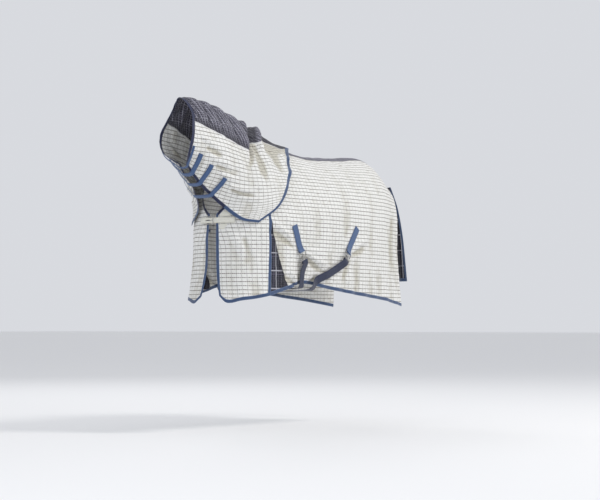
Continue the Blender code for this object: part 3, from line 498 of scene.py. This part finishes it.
def ranged(tree, value, low, high, to_low=0.0, to_high=1.0):
    """A value moved smoothly from one range to another and held at its ends."""
    values = {"Value": value, "From Min": low, "From Max": high, "To Min": to_low, "To Max": to_high}
    return node(tree, "ShaderNodeMapRange", values, interpolation_type="SMOOTHSTEP").outputs[0]


def lines(tree, coordinate, pitch, width, offset=0.5):
    """1 on thin lines that repeat every pitch, 0 between them."""
    turns = calc(tree, "FRACT", calc(tree, "MULTIPLY_ADD", coordinate, 1 / pitch, offset))
    away = calc(tree, "ABSOLUTE", calc(tree, "SUBTRACT", turns, 0.5))
    return ranged(tree, away, 0.35 * width / pitch, 0.70 * width / pitch, 1.0, 0.0)


def noise(tree, vector, scale, detail=2.0, roughness=0.5):
    values = {"Vector": vector, "Scale": scale, "Detail": detail, "Roughness": roughness}
    return node(tree, "ShaderNodeTexNoise", values).outputs["Fac"]


def fabric(name, roughness, sheen=0.0, metallic=0.0, specular=0.3):
    """A new material: its tree, its shader, the cloth's two lengths and the UV vector."""
    made = bpy.data.materials.new(name)
    made.use_nodes = True
    tree = made.node_tree
    shader = tree.nodes["Principled BSDF"]
    shader.inputs["Roughness"].default_value = roughness
    shader.inputs["Metallic"].default_value = metallic
    shader.inputs["Specular IOR Level"].default_value = specular
    shader.inputs["Sheen Weight"].default_value = sheen
    shader.inputs["Sheen Roughness"].default_value = 0.5
    uv = node(tree, "ShaderNodeUVMap", uv_map="cloth").outputs[0]
    parts = node(tree, "ShaderNodeSeparateXYZ", {0: uv})
    return made, tree, shader, parts.outputs[0], parts.outputs[1], uv


def weave(tree, u, v, pitch, strength, shader, extra=None):
    """Bump of crossing threads, with any extra height added."""
    across = calc(tree, "SINE", calc(tree, "MULTIPLY", u, 2 * math.pi / pitch))
    along = calc(tree, "SINE", calc(tree, "MULTIPLY", v, 2 * math.pi / pitch))
    height = calc(tree, "MULTIPLY", across, along)
    if extra is not None:
        height = calc(tree, "ADD", height, extra)
    bump = node(tree, "ShaderNodeBump", {"Strength": strength, "Distance": 0.0006, "Height": height})
    tree.links.new(bump.outputs[0], shader.inputs["Normal"])


# %% [markdown]
# The main cloth is a fine cream mesh with a thin dark check.  Its weft lines are stronger than its warp
# lines and look dashed, because each is a thicker thread that dives under every other warp.

# %% Cream check mesh
CHECK = 0.022
made, tree, shader, u, v, uv = fabric("fly_mesh_cloth", 0.82, sheen=0.10, specular=0.2)
wander = calc(tree, "MULTIPLY_ADD", noise(tree, uv, 14.0), 0.004, -0.002)
u_worn, v_worn = calc(tree, "ADD", u, wander), calc(tree, "ADD", v, wander)
weft = lines(tree, v_worn, CHECK, 0.0056)
warp = lines(tree, u_worn, CHECK * 1.25, 0.0036)
dash = ranged(tree, lines(tree, u_worn, CHECK / 2, 0.0060), 0.0, 1.0, 0.55, 1.0)
thin = calc(tree, "MULTIPLY", lines(tree, v_worn, CHECK, 0.0022, 0.0), 0.22)
dark = calc(tree, "MAXIMUM", calc(tree, "MULTIPLY", weft, dash), calc(tree, "MULTIPLY", warp, 0.50))
faded = ranged(tree, noise(tree, uv, 60.0), 0.3, 0.7, 0.65, 0.95)
dark = calc(tree, "MULTIPLY", calc(tree, "MAXIMUM", dark, thin), faded)
cream = mixed(tree, noise(tree, uv, 5.0, 4.0), (0.87, 0.87, 0.85, 1), (0.79, 0.785, 0.75, 1))
# Painted shade: the cream turns a darker olive in the valleys of the folds.
painted_shade_share = node(tree, "ShaderNodeAttribute", attribute_name="painted_crease_shade").outputs["Fac"]
cream = mixed(tree, calc(tree, "MULTIPLY", painted_shade_share, 0.75), cream, (0.50, 0.475, 0.385, 1))
tree.links.new(mixed(tree, dark, cream, (0.135, 0.115, 0.095, 1)), shader.inputs["Base Color"])
weave(tree, u, v, 0.0022, 0.35, shader, calc(tree, "MULTIPLY", dark, -0.6))
MESH = made

# %% [markdown]
# The plaid is charcoal cotton with white and lilac lines.  On the crest a fine check shows, on the gussets
# the wide lines; it is one cloth, so one function makes both with other strengths.  The gusset's copy, used
# on the tail flap too, has a far darker ground, which is painted shade.

# %% Dark plaid cotton
def plaid(name, broad, fine, ground):
    made, tree, shader, u, v, uv = fabric(name, 0.85, sheen=0.15, specular=0.2)
    wander = calc(tree, "MULTIPLY_ADD", noise(tree, uv, 16.0), 0.003, -0.0015)
    u, v = calc(tree, "ADD", u, wander), calc(tree, "ADD", v, wander)
    wide = calc(tree, "MAXIMUM", lines(tree, v, 0.095, 0.0050), lines(tree, u, 0.095, 0.0040))
    second = calc(tree, "MAXIMUM", lines(tree, v, 0.095, 0.0026, 0.70), lines(tree, u, 0.095, 0.0026, 0.70))
    small = calc(tree, "MULTIPLY", lines(tree, v, 0.012, 0.0026), 0.6)
    small = calc(tree, "MAXIMUM", small, lines(tree, u, 0.024, 0.0050))
    broken = ranged(tree, noise(tree, uv, 260.0), 0.42, 0.58)
    chain = calc(tree, "MULTIPLY", calc(tree, "MULTIPLY", small, broken), fine)
    base = mixed(tree, noise(tree, uv, 9.0, 3.0), ground, tuple(1.7 * c for c in ground[:3]) + (1,))
    colour = mixed(tree, chain, base, (0.52, 0.51, 0.60, 1))
    colour = mixed(tree, calc(tree, "MULTIPLY", second, 0.55 * broad), colour, (0.24, 0.22, 0.32, 1))
    colour = mixed(tree, calc(tree, "MULTIPLY", wide, broad), colour, (0.62, 0.62, 0.68, 1))
    # Painted shadow: the plaid goes almost black in the valleys of its folds and between the crest's puffs.
    deep = node(tree, "ShaderNodeAttribute", attribute_name="painted_crease_shade").outputs["Fac"]
    colour = mixed(tree, calc(tree, "MULTIPLY", deep, 0.72), colour, (0.008, 0.008, 0.012, 1))
    tree.links.new(colour, shader.inputs["Base Color"])
    weave(tree, u, v, 0.0020, 0.40, shader)
    return made


PLAID_CREST = plaid("plaid_crest_cotton", 0.16, 1.00, (0.050, 0.048, 0.064, 1))
# This copy's ground is far darker than the crest's: painted shade on the same cloth.
PLAID_SHADED = plaid("plaid_shaded_cotton", 0.75, 0.25, (0.010, 0.010, 0.017, 1))

# %% [markdown]
# Bindings and webbing are woven tape: slanted twill ridges, a stitch line near each edge and a soft sheen.
# One function makes the blue tape, the navy one at the throat, the blue webbing and the cream webbing.

# %% Tape and webbing
def woven_tape(name, colour, light, thread, width, roughness=0.6, twill=0.0030, seams=(0.12, 0.88)):
    """Twill tape; seams are the stitch lines' places as shares of its width."""
    made, tree, shader, u, v, uv = fabric(name, roughness, sheen=0.25, specular=0.3)
    slant = calc(tree, "ADD", u, v)
    ridge = calc(tree, "SINE", calc(tree, "MULTIPLY", slant, 2 * math.pi / twill))
    stitch = lines(tree, u, 0.0060, 0.0068)
    rows = None
    for seam in seams:
        away = calc(tree, "ABSOLUTE", calc(tree, "SUBTRACT", v, seam * width))
        row = ranged(tree, away, 0.0005, 0.0011, 1.0, 0.0)
        rows = row if rows is None else calc(tree, "MAXIMUM", rows, row)
    sewn = calc(tree, "MULTIPLY", stitch, rows)
    mottle_and_painted_shade = noise(tree, uv, 30.0, 4.0)
    base = mixed(tree, mottle_and_painted_shade, colour, light)
    shaded = tuple(0.45 * c for c in colour[:3]) + (1,)
    base = mixed(tree, ranged(tree, ridge, -1.0, 1.0, 0.0, 0.35), base, shaded)
    # Painted shade: the tape darkens in the valleys of its folds.
    painted_shade_share = node(tree, "ShaderNodeAttribute", attribute_name="painted_crease_shade").outputs["Fac"]
    base = mixed(tree, calc(tree, "MULTIPLY", painted_shade_share, 0.35), base, tuple(0.4 * c for c in colour[:3]) + (1,))
    tree.links.new(mixed(tree, sewn, base, thread), shader.inputs["Base Color"])
    height = calc(tree, "ADD", calc(tree, "MULTIPLY", ridge, 0.5), calc(tree, "MULTIPLY", rows, -1.2))
    bump = node(tree, "ShaderNodeBump", {"Strength": 0.5, "Distance": 0.0006, "Height": height})
    tree.links.new(bump.outputs[0], shader.inputs["Normal"])
    return made


BLUE = woven_tape("blue_twill_binding",
                  (0.034, 0.066, 0.150, 1), (0.055, 0.100, 0.210, 1), (0.11, 0.17, 0.30, 1), TAPE)
NAVY = woven_tape("navy_twill_binding",
                  (0.010, 0.014, 0.045, 1), (0.020, 0.026, 0.075, 1), (0.05, 0.06, 0.14, 1), TAPE)
PIPING = woven_tape("white_piping_tape",
                    (0.82, 0.82, 0.82, 1), (0.90, 0.90, 0.90, 1), (0.6, 0.6, 0.6, 1), 0.008, 0.7)
WEBBING = woven_tape("blue_webbing_twill", (0.040, 0.085, 0.200, 1), (0.085, 0.150, 0.300, 1),
                     (0.018, 0.035, 0.110, 1), 0.045, 0.5, 0.0045, (0.06, 0.94))
BELLY = woven_tape("navy_webbing_twill", (0.009, 0.014, 0.042, 1), (0.020, 0.031, 0.078, 1),
                   (0.006, 0.010, 0.035, 1), 0.045, 0.5, 0.0045, (0.06, 0.94))
CREAM_WEB = woven_tape("cream_webbing_twill", (0.74, 0.73, 0.64, 1), (0.84, 0.83, 0.76, 1),
                       (0.55, 0.53, 0.42, 1), 0.030, 0.75, 0.0035, (0.08, 0.92))

# %% Satin lining and metal
made, tree, shader, u, v, uv = fabric("satin_lining_cloth", 0.32, sheen=0.2, specular=0.5)
shade = noise(tree, uv, 12.0, 3.0)
satin = mixed(tree, shade, (0.020, 0.014, 0.050, 1), (0.050, 0.040, 0.095, 1))
tree.links.new(satin, shader.inputs["Base Color"])
weave(tree, u, v, 0.0010, 0.10, shader)
shader.inputs["Anisotropic"].default_value = 0.5
SATIN = made


def metal(name, colour, roughness):
    """Plated wire: tiny scratches and dull spots, placed by the object's own coordinates."""
    made, tree, shader, *_ = fabric(name, roughness, metallic=1.0, specular=0.5)
    where = node(tree, "ShaderNodeTexCoord").outputs["Object"]
    dull = noise(tree, where, 400.0, 5.0)
    tree.links.new(ranged(tree, dull, 0.3, 0.8, roughness * 0.7, roughness * 1.6), shader.inputs["Roughness"])
    tree.links.new(mixed(tree, noise(tree, where, 90.0), colour, tuple(0.7 * c for c in colour[:3]) + (1,)),
                   shader.inputs["Base Color"])
    bump = node(tree, "ShaderNodeBump", {"Strength": 0.15, "Distance": 0.0003, "Height": dull})
    tree.links.new(bump.outputs[0], shader.inputs["Normal"])
    return made


NICKEL = metal("nickel_plate", (0.50, 0.49, 0.47, 1), 0.22)
print("made", len(bpy.data.materials), "materials")

# %% [markdown]
# The rug comes first.  Its panels are the same regions that the maker cuts: a front panel and a body side on
# each hand, joined by a plaid gusset that opens towards the hem so that the shoulder can move.  Every panel
# runs a few millimetres under its binding, as the real one is sewn.

# %% The rug's cut lines
UNDER = 0.008      # how far a panel runs under its binding


def hem_share(s, more=0.0):
    """Share where the hem's binding begins; more is a length into it."""
    return rug_cloth.share(s, -TAPE + more)


def spine_share(s):
    """Half width of the spine strip as a share; it narrows to the withers."""
    return 0.105 * (0.35 + 0.65 * np.clip((s - WITHERS) / 0.8, 0, 1))


def neckline_share(s):
    """Share where the panels begin: at the neckline's binding, then at the spine strip."""
    at_withers = np.clip((s - WITHERS + 0.4) / 0.4, 0, 1)
    return rug_cloth.share(np.minimum(s, WITHERS), TAPE) * (1 - at_withers) + spine_share(s) * at_withers


def gusset_rear(t):
    """Station of the gusset's rear seam at share t."""
    return GUSSET + GUSSET_SPREAD * np.maximum(t - GUSSET_APEX, 0) / (1 - GUSSET_APEX)


def stations_for(cloth, s, metres, t):
    """The change of station that moves this many metres along a surface."""
    two = cloth.base(np.array([s, s + 0.01]), np.array([t, t]))
    return metres / float(np.linalg.norm(two[1] - two[0])) * 0.01


edge = stations_for(rug_cloth, 0.0, TAPE, 0.7)
seam_half = stations_for(rug_cloth, GUSSET, 0.011, 0.9)
under_s = 0.03


def lerp(a, b, share):
    """From a to b by a share."""
    return a + (b - a) * share


def front_region(a, b):
    s = lerp(edge - under_s, GUSSET, a)
    return s, lerp(neckline_share(s) - 0.010, hem_share(s, UNDER), b)


def flank_region(a, b):
    first = GUSSET + seam_half - under_s
    s_top = lerp(first, REAR, a)
    t = lerp(neckline_share(s_top) - 0.006, hem_share(s_top, UNDER), b)
    return lerp(np.maximum(gusset_rear(t), first), REAR, a), t


def gusset_region(a, b):
    t = lerp(GUSSET_APEX, hem_share(4.4, UNDER), b)
    return lerp(GUSSET, gusset_rear(t) + 0.04, a), t


def hem_region(first, last):
    def where(a, b):
        s = lerp(first, last, a)
        return s, lerp(hem_share(s), 1.0, b)
    return where


def lining_region(a, b):
    return lerp(edge + 0.1, GUSSET - 0.15, a), lerp(0.16, 0.94, b)


def front_edge_region(a, b):
    return lerp(0.0, edge, b), a


def gusset_seam_region(a, b):
    return lerp(GUSSET - seam_half, GUSSET + seam_half, b), lerp(0.25, 1.0, a)


def neckline_region(a, b):
    s = lerp(edge - under_s, WITHERS - 0.02, a)
    return s, lerp(0.0, neckline_share(s), b)


# %% Sew the rug
def sew_rug(side, hand):
    """All the pieces of one side of the rug."""
    front = panel(f"front_mesh_{hand}", rug, front_region, 110, 150, side)
    place(front, "sheet", "fly_mesh", MESH, f"front_panel_{hand}")
    body = panel(f"body_mesh_{hand}", rug, flank_region, 230, 150, side)
    place(body, "sheet", "fly_mesh", MESH, f"body_side_{hand}")
    gusset = panel(f"gusset_plaid_{hand}", rug, gusset_region, 26, 110, side, lift=-0.0018)
    place(gusset, "sheet", "plaid_cotton", PLAID_SHADED, f"shoulder_gusset_{hand}")
    lining = panel(f"shoulder_lining_{hand}", rug, lining_region, 50, 60, side, lift=-0.0065)
    place(lining, "sheet", "satin_lining", SATIN, f"front_lining_{hand}")

    seam_s = GUSSET + seam_half
    tapes = []
    for part, where, rows in (
        ("front_edge", front_edge_region, 160),
        ("front_hem", hem_region(edge - under_s, GUSSET - seam_half + 0.02), 140),
        ("gusset_hem", hem_region(seam_s - 0.02, gusset_rear(1.0)), 40),
        ("body_hem", hem_region(gusset_rear(1.0), REAR), 300),
        ("gusset_seam", gusset_seam_region, 180),
        ("neckline", neckline_region, 160),
    ):
        finish = NAVY if part == "neckline" else BLUE
        made = tape(f"{part}_tape_{hand}", rug, where, rows, side)
        tapes.append(place(made, "sheet", "blue_binding", finish, f"{part}_binding_{hand}"))
    for piece, held, sewn_on in (
        (front, "hung", tapes[:2] + tapes[5:]), (body, "draped", tapes[3:4]),
        (gusset, "hung", tapes[2:3] + tapes[4:5]), (lining, "hung", []),
    ):
        print(piece.name, "is cut", [round(x, 3) for x in piece["flat"]], "m")


for side, hand in ((1, "left"), (-1, "right")):
    sew_rug(side, hand)

# %% [markdown]
# A plaid strip runs along the spine over both body sides.  It lies a little higher than they do, so it is
# its own panel, and its two long edges cover their raw edges.

# %% The spine strip
def spine_region(a, b):
    s = lerp(WITHERS + 0.02, REAR, a)
    return s, (spine_share(s) + 0.004) * (2 * b - 1)


spine = panel("spine_plaid", rug, spine_region, 200, 33, 1, lift=0.0022)
place(spine, "sheet", "plaid_cotton", PLAID_CREST, "spine_strip")
ridge = rug(np.linspace(WITHERS, REAR, 60), np.zeros(60), 1)[0]

# %% [markdown]
# The neck cover is its own piece of kit, and it moves with the horse's neck.  Its cream sides hang from a
# plaid crest that is gathered on elastic: the cloth is cut longer than the crest and stands up in puffs.

# %% The neck cover's cut lines
face = stations_for(cover_cloth, 0.0, TAPE, 0.5)
rear = CAPE - stations_for(cover_cloth, 4.9, TAPE, 0.6)
PIPING_WIDTH = 0.008


def cover_edge(s, more=0.0):
    return cover_cloth.share(s, -TAPE + more)


def below_crest(s, metres):
    """Share that lies some metres below the crest's seam."""
    start = cover_cloth.look_up(cover_cloth.down, s, crest_at(s))
    shares = np.linspace(0.05, 0.6, 80)
    depth = [cover_cloth.look_up(cover_cloth.down, s, np.full_like(s, share)) - start for share in shares]
    return np.array([np.interp(metres, column, shares) for column in np.array(depth).T])


def side_region(a, b):
    s = lerp(face - 0.02, rear + 0.02, a)
    return s, lerp(crest_at(s) - 0.004, cover_edge(s, UNDER), b)


def piping_region(a, b):
    s = lerp(face - 0.01, rear + 0.01, a)
    return s, lerp(crest_at(s) + 0.001, below_crest(s, PIPING_WIDTH), b)


def face_region(a, b):
    return lerp(0.0, face, b), lerp(0.006, 1.0, a)


def throat_region(a, b):
    s = lerp(face - 0.01, CAPE_FRONT, a)
    return s, lerp(cover_edge(s), 1.0, b)


def cape_region(a, b):
    """Along the cape's lower edge, then up its rear edge, with a mitred corner."""
    low_s = lerp(CAPE_FRONT, lerp(rear, CAPE, b), np.minimum(a / 0.5, 1))
    low_t = lerp(cover_edge(low_s), 1.0, b)
    corner_t = lerp(cover_edge(np.full_like(b, CAPE)), 1.0, b)
    up = np.clip((a - 0.5) / 0.5, 0, 1)
    s = np.where(a <= 0.5, low_s, lerp(rear, CAPE, b))
    return s, np.where(a <= 0.5, low_t, lerp(corner_t, 0.006, up))


# %% Sew the neck cover
def sew_cover(side, hand):
    piece = panel(f"neck_mesh_{hand}", cover, side_region, 230, 110, side)
    place(piece, "neck_cover", "fly_mesh", MESH, f"neck_side_{hand}")
    for name, where, rows, finish, width, node_name in (
        (f"face_tape_{hand}", face_region, 130, NAVY, TAPE, f"face_binding_{hand}"),
        (f"throat_tape_{hand}", throat_region, 130, NAVY, TAPE, f"throat_binding_{hand}"),
        (f"cape_tape_{hand}", cape_region, 360, BLUE, TAPE, f"cape_binding_{hand}"),
        (f"crest_piping_tape_{hand}", piping_region, 220, PIPING, PIPING_WIDTH, f"crest_piping_{hand}"),
    ):
        slot = "cream_webbing" if finish is PIPING else "blue_binding"
        thick = 0.0046 if finish is PIPING else BINDING_THICK
        made = tape(name, cover, where, rows, side, width, thick)
        place(made, "neck_cover", slot, finish, node_name)
    print(piece.name, "is cut", [round(x, 3) for x in piece["flat"]], "m")


for side, hand in ((1, "left"), (-1, "right")):
    sew_cover(side, hand)

# %% The gathered crest, in two parts on either side of the crease
GATHER = 1.25      # the crest's cloth is cut this many times longer than it lies
BOW = 0.1925       # how far the plaid's cross lines bow, by the root of the depth below the ridge
for name, first, last, first_leans, last_leans, rows, solid in (
    ("crest_plaid", face - 0.02, NOTCH - 0.01, 0, 1, 260, "neck_crest"),
    ("withers_plaid", NOTCH + 0.01, rear + 0.02, 1, 0, 170, "withers_crest"),
):
    def crest_region(a, b):
        lean = NOTCH_LEAN * CREST * np.abs(2 * b - 1)
        s = lerp(first - lean * first_leans, last - lean * last_leans, a)
        return s, crest_at(s) * (2 * b - 1)

    piece = panel(name, cover, crest_region, rows, 101, 1, lift=0.0012, level=0.011, depth=0.013)
    layer = piece.data.uv_layers["cloth"].data
    flat = np.zeros(len(layer) * 2, np.float32)
    layer.foreach_get("uv", flat)
    flat = flat.reshape(-1, 2)
    flat[:, 0] = flat[:, 0] * GATHER - BOW * np.sqrt(np.abs(flat[:, 1] - flat[:, 1].max()) + 0.001)
    layer.foreach_set("uv", flat.ravel())
    place(piece, "neck_cover", "plaid_cotton", PLAID_CREST, solid)

# %% [markdown]
# The tail flap hangs from the rump on its own hinge line.  Its shape is a gentle curve over the dock, with a
# rolled binding down both edges and along its foot.

# %% The tail flap
low, high = (np.array(corner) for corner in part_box("tail_flap_binding"))
TAIL_HINGE = np.array([0.0, 0.628, -0.112])
TAIL_HALF, TAIL_LENGTH = 0.125, 0.570


def tail_cloth(s, t, side, lift=0.0):
    """The flap's outside: s runs down from the dock, t across from -1 to 1."""
    half = lerp(0.085, TAIL_HALF, np.clip(s, 0, 1) ** 0.6)
    y = TAIL_HINGE[1] + 0.006 + 0.045 * np.sin(np.minimum(s * 1.6, 1) * np.pi / 2) + 0.085 * s
    y = y - 0.030 * t**2 * (0.4 + 0.6 * s) + 0.020 * ease(s / 0.25) * (1 - 0.5 * s)
    pleats = 0.0045 * np.sin(2.2 * np.pi * t + 0.6) * ease(s * 1.5)
    pleats = pleats + 0.0025 * np.sin(5.1 * np.pi * t) * ease(s)
    point = np.stack([half * t, y + lift + pleats + 0.0015, TAIL_HINGE[2] - 0.004 - TAIL_LENGTH * s], -1)
    return point, half * t, -TAIL_LENGTH * s, pleats


def flap_region(a, b):
    return lerp(0.0, 1 - (TAPE - UNDER) / TAIL_LENGTH, a), (1 - (TAPE - UNDER) / TAIL_HALF) * (2 * b - 1)


def flap_border(a, b):
    """Down the left edge, along the foot and up the right edge."""
    depth, inset = TAPE / TAIL_LENGTH * (1 - b), TAPE / TAIL_HALF * (1 - b)
    down = lerp(0.0, 1 - depth, np.clip(a / 0.4, 0, 1))
    up = lerp(1 - depth, 0.0, np.clip((a - 0.6) / 0.4, 0, 1))
    foot = lerp(1 - inset, inset - 1, np.clip((a - 0.4) / 0.2, 0, 1))
    return np.where(a < 0.5, down, up), foot


flap = panel("tail_plaid", tail_cloth, flap_region, 90, 61, 1)
place(flap, "tail_flap", "plaid_cotton", PLAID_SHADED, "tail_flap")
flap_tape = tape("tail_tape", tail_cloth, flap_border, 300, 1)
place(flap_tape, "tail_flap", "blue_binding", BLUE, "tail_flap_binding")
print("tail flap from", low.round(3), "to", high.round(3))

# %% [markdown]
# Straps are flat webbing, so they are modelled directly.  The plain solid of a strap has four long corner
# lines.  Reading those lines from the frame gives its path, its width and the way it faces, and a finer strap
# with round edges and twill follows them exactly.

# %% Straps that follow the frame's solids
def corner_lines(name):
    """The four long corner lines of a strap's solid, in step: two on its one edge, two on the other."""
    solid = bmesh.new()
    solid.from_mesh(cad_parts[name].data)
    bmesh.ops.remove_doubles(solid, verts=solid.verts, dist=0.00002)
    sharp = {vert: [] for vert in solid.verts}
    for bend in solid.edges:
        if bend.calc_face_angle(0.0) > math.radians(77):
            sharp[bend.verts[0]].append(bend.verts[1])
            sharp[bend.verts[1]].append(bend.verts[0])
    corners = sorted((v for v in sharp if len(sharp[v]) == 3), key=lambda v: tuple(v.co))
    start = corners[0]
    beside = sorted((v for v in sharp[start] if v in corners), key=lambda v: (v.co - start.co).length)
    thick, wide = beside[0], beside[-1]
    across = [v for v in sharp[wide] if v in corners and v is not start]
    across = min(across, key=lambda v: (v.co - wide.co).length)
    found = []
    for vert in (start, thick, wide, across):
        line = [vert]
        here = next(v for v in sharp[vert] if v not in corners)
        while here not in corners:
            line.append(here)
            here = next(v for v in sharp[here] if v is not line[-2])
        line.append(here)
        found.append(np.array([tuple(v.co) for v in line]))
    solid.free()
    return found


def strap(name, solid, body, slot, finish, thick, fine=6, columns=9):
    """Fine webbing along a strap's solid."""
    one, one_in, two, two_in = corner_lines(solid)
    u = np.linspace(0, len(one) - 1, (len(one) - 1) * fine + 1)
    middle = through((one + one_in + two + two_in) / 4, u)
    half = through(((one + one_in) - (two + two_in)) / 4, u)
    face = through(((one - one_in) + (two - two_in)), u)
    face /= np.linalg.norm(face, axis=1)[:, None]
    b = np.linspace(-1, 1, columns)
    round_edge = thick / 2 * np.sqrt(np.clip(1 - np.abs(b) ** 6, 0.03, 1))
    grid = middle[:, None] + half[:, None] * b[None, :, None]
    rise = face[:, None] * round_edge[None, :, None]
    outer, inner = grid + rise, grid - rise
    width = 2 * float(np.linalg.norm(half, axis=1).mean())
    uv = np.stack(np.meshgrid(edge_length(outer), (b + 1) / 2 * width, indexing="ij"), -1)
    piece = shell(name, outer, inner, uv)
    print(name, round(float(edge_length(outer)[-1]), 3), "m long,", round(width, 4), "m wide")
    return place(piece, body, slot, finish, solid)


for end in ("front", "rear"):
    strap(f"{end}_surcingle_tab", f"{end}_surcingle_patch", "sheet", "blue_webbing", WEBBING, 0.0020)
    strap(f"{end}_surcingle_strap", f"{end}_surcingle", f"{end}_surcingle", "blue_webbing", BELLY, 0.0020, 5)
    strap(f"{end}_surcingle_sewn_end", f"{end}_surcingle_anchor", "sheet", "blue_webbing", WEBBING, 0.0020)
for number in range(1, 5):
    solid = f"throat_strap_{number}"
    strap(f"throat_tab_{number}", solid, solid, "blue_webbing", WEBBING, 0.0018)

# %% [markdown]
# Light, floor and camera.  The floor is plain and pale and lies where the horse's hooves would stand.  Large
# soft lamps give the even light of a studio.  The camera stands at the height of the horse's chest, about
# nine metres off to its left front.

# %% Floor, light and camera
GROUND = -1.534
bpy.ops.mesh.primitive_plane_add(size=240, location=(0, 0, GROUND))
floor = bpy.context.object
floor.name = "studio_floor"
floor_finish = bpy.data.materials.new("pale_floor")
floor_finish.use_nodes = True
floor_finish.node_tree.nodes["Principled BSDF"].inputs["Base Color"].default_value = (0.85, 0.85, 0.85, 1)
floor_finish.node_tree.nodes["Principled BSDF"].inputs["Roughness"].default_value = 0.9
floor.data.materials.append(floor_finish)

world = bpy.data.worlds.new("studio_air")
world.use_nodes = True
world.node_tree.nodes["Background"].inputs["Color"].default_value = (0.93, 0.95, 1.0, 1)
world.node_tree.nodes["Background"].inputs["Strength"].default_value = 0.74
bpy.context.scene.world = world
bpy.context.scene.view_settings.view_transform = "Standard"


def lamp(name, spot, target, power, size, colour=(1, 1, 1)):
    data = bpy.data.lights.new(name, "AREA")
    data.energy, data.size, data.color = power, size, colour
    made = bpy.data.objects.new(name, data)
    made.location = spot
    made.rotation_euler = (Vector(target) - Vector(spot)).to_track_quat("-Z", "Y").to_euler()
    bpy.context.collection.objects.link(made)


lamp("key_lamp", (5.5, 1.5, 5.0), (0, -0.3, -0.3), 250, 1.6, (1.0, 0.98, 0.95))
lamp("fill_lamp", (3.0, -7.0, 1.5), (0, -0.4, -0.4), 75, 3.5, (0.92, 0.95, 1.0))
lamp("back_lamp", (-5.0, 3.0, 4.0), (0, -0.2, -0.2), 90, 3.0)

TURN = math.radians(36)
DISTANCE = 9.4
EYE = -0.960
view = bpy.data.cameras.new("studio_camera")
view.sensor_width = 36.0
view.lens = 1619 / 600 * 36.0
view.shift_x = -0.0317
view.shift_y = 0.1267
camera = bpy.data.objects.new("studio_camera", view)
camera.location = (DISTANCE * math.sin(TURN), -DISTANCE * math.cos(TURN), EYE)
camera.rotation_euler = (math.radians(90), 0, TURN)
bpy.context.collection.objects.link(camera)
bpy.context.scene.camera = camera

# %% [markdown]
# The chest strap, its holder and the two sewn patches are short flat pieces that lie across the chest, some
# with a slot cut in them.  A copy of each plain solid keeps those cuts; merged, smoothed and given round
# edges and a woven finish, it is the finished piece.

# %% The chest pieces
def from_solid(name, solid, body, slot, finish, bevel):
    """A finished copy of a plain solid that lies across the chest: UV is its place across and up."""
    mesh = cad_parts[solid].data.copy()
    mesh.name = name
    mesh.materials.clear()
    work = bmesh.new()
    work.from_mesh(mesh)
    bmesh.ops.remove_doubles(work, verts=work.verts, dist=0.00002)
    bmesh.ops.dissolve_limit(work, angle_limit=math.radians(1.0), verts=work.verts, edges=work.edges)
    edges = [edge for edge in work.edges if edge.calc_face_angle(0.0) > math.radians(60)]
    bmesh.ops.bevel(work, geom=edges, offset=bevel, segments=2, affect="EDGES", profile=0.6)
    layer = work.loops.layers.uv.new("cloth")
    low = min(vert.co.z for vert in work.verts)
    for face_used in work.faces:
        face_used.smooth = True
        for loop in face_used.loops:
            loop[layer].uv = (loop.vert.co.x, loop.vert.co.z - low)
    work.to_mesh(mesh)
    work.free()
    mesh.set_sharp_from_angle(angle=math.radians(50))
    piece = bpy.data.objects.new(name, mesh)
    bpy.context.collection.objects.link(piece)
    return place(piece, body, slot, finish, solid)


for name, solid in (
    ("chest_strap_webbing", "chest_strap"), ("chest_holder_webbing", "chest_buckle_tab"),
    ("chest_patch_cloth_upper", "chest_patch_upper"), ("chest_patch_cloth_lower", "chest_patch_lower"),
):
    piece = from_solid(name, solid, "sheet", "cream_webbing", CREAM_WEB, 0.0003)
    print(name, len(piece.data.polygons), "faces")

# %% Metal fittings keep their shape and get a plated finish
for name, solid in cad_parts.items():
    if name.endswith(("_ring", "_hook", "_frame", "_prong")):
        for material_slot in solid.material_slots:
            material_slot.material = NICKEL
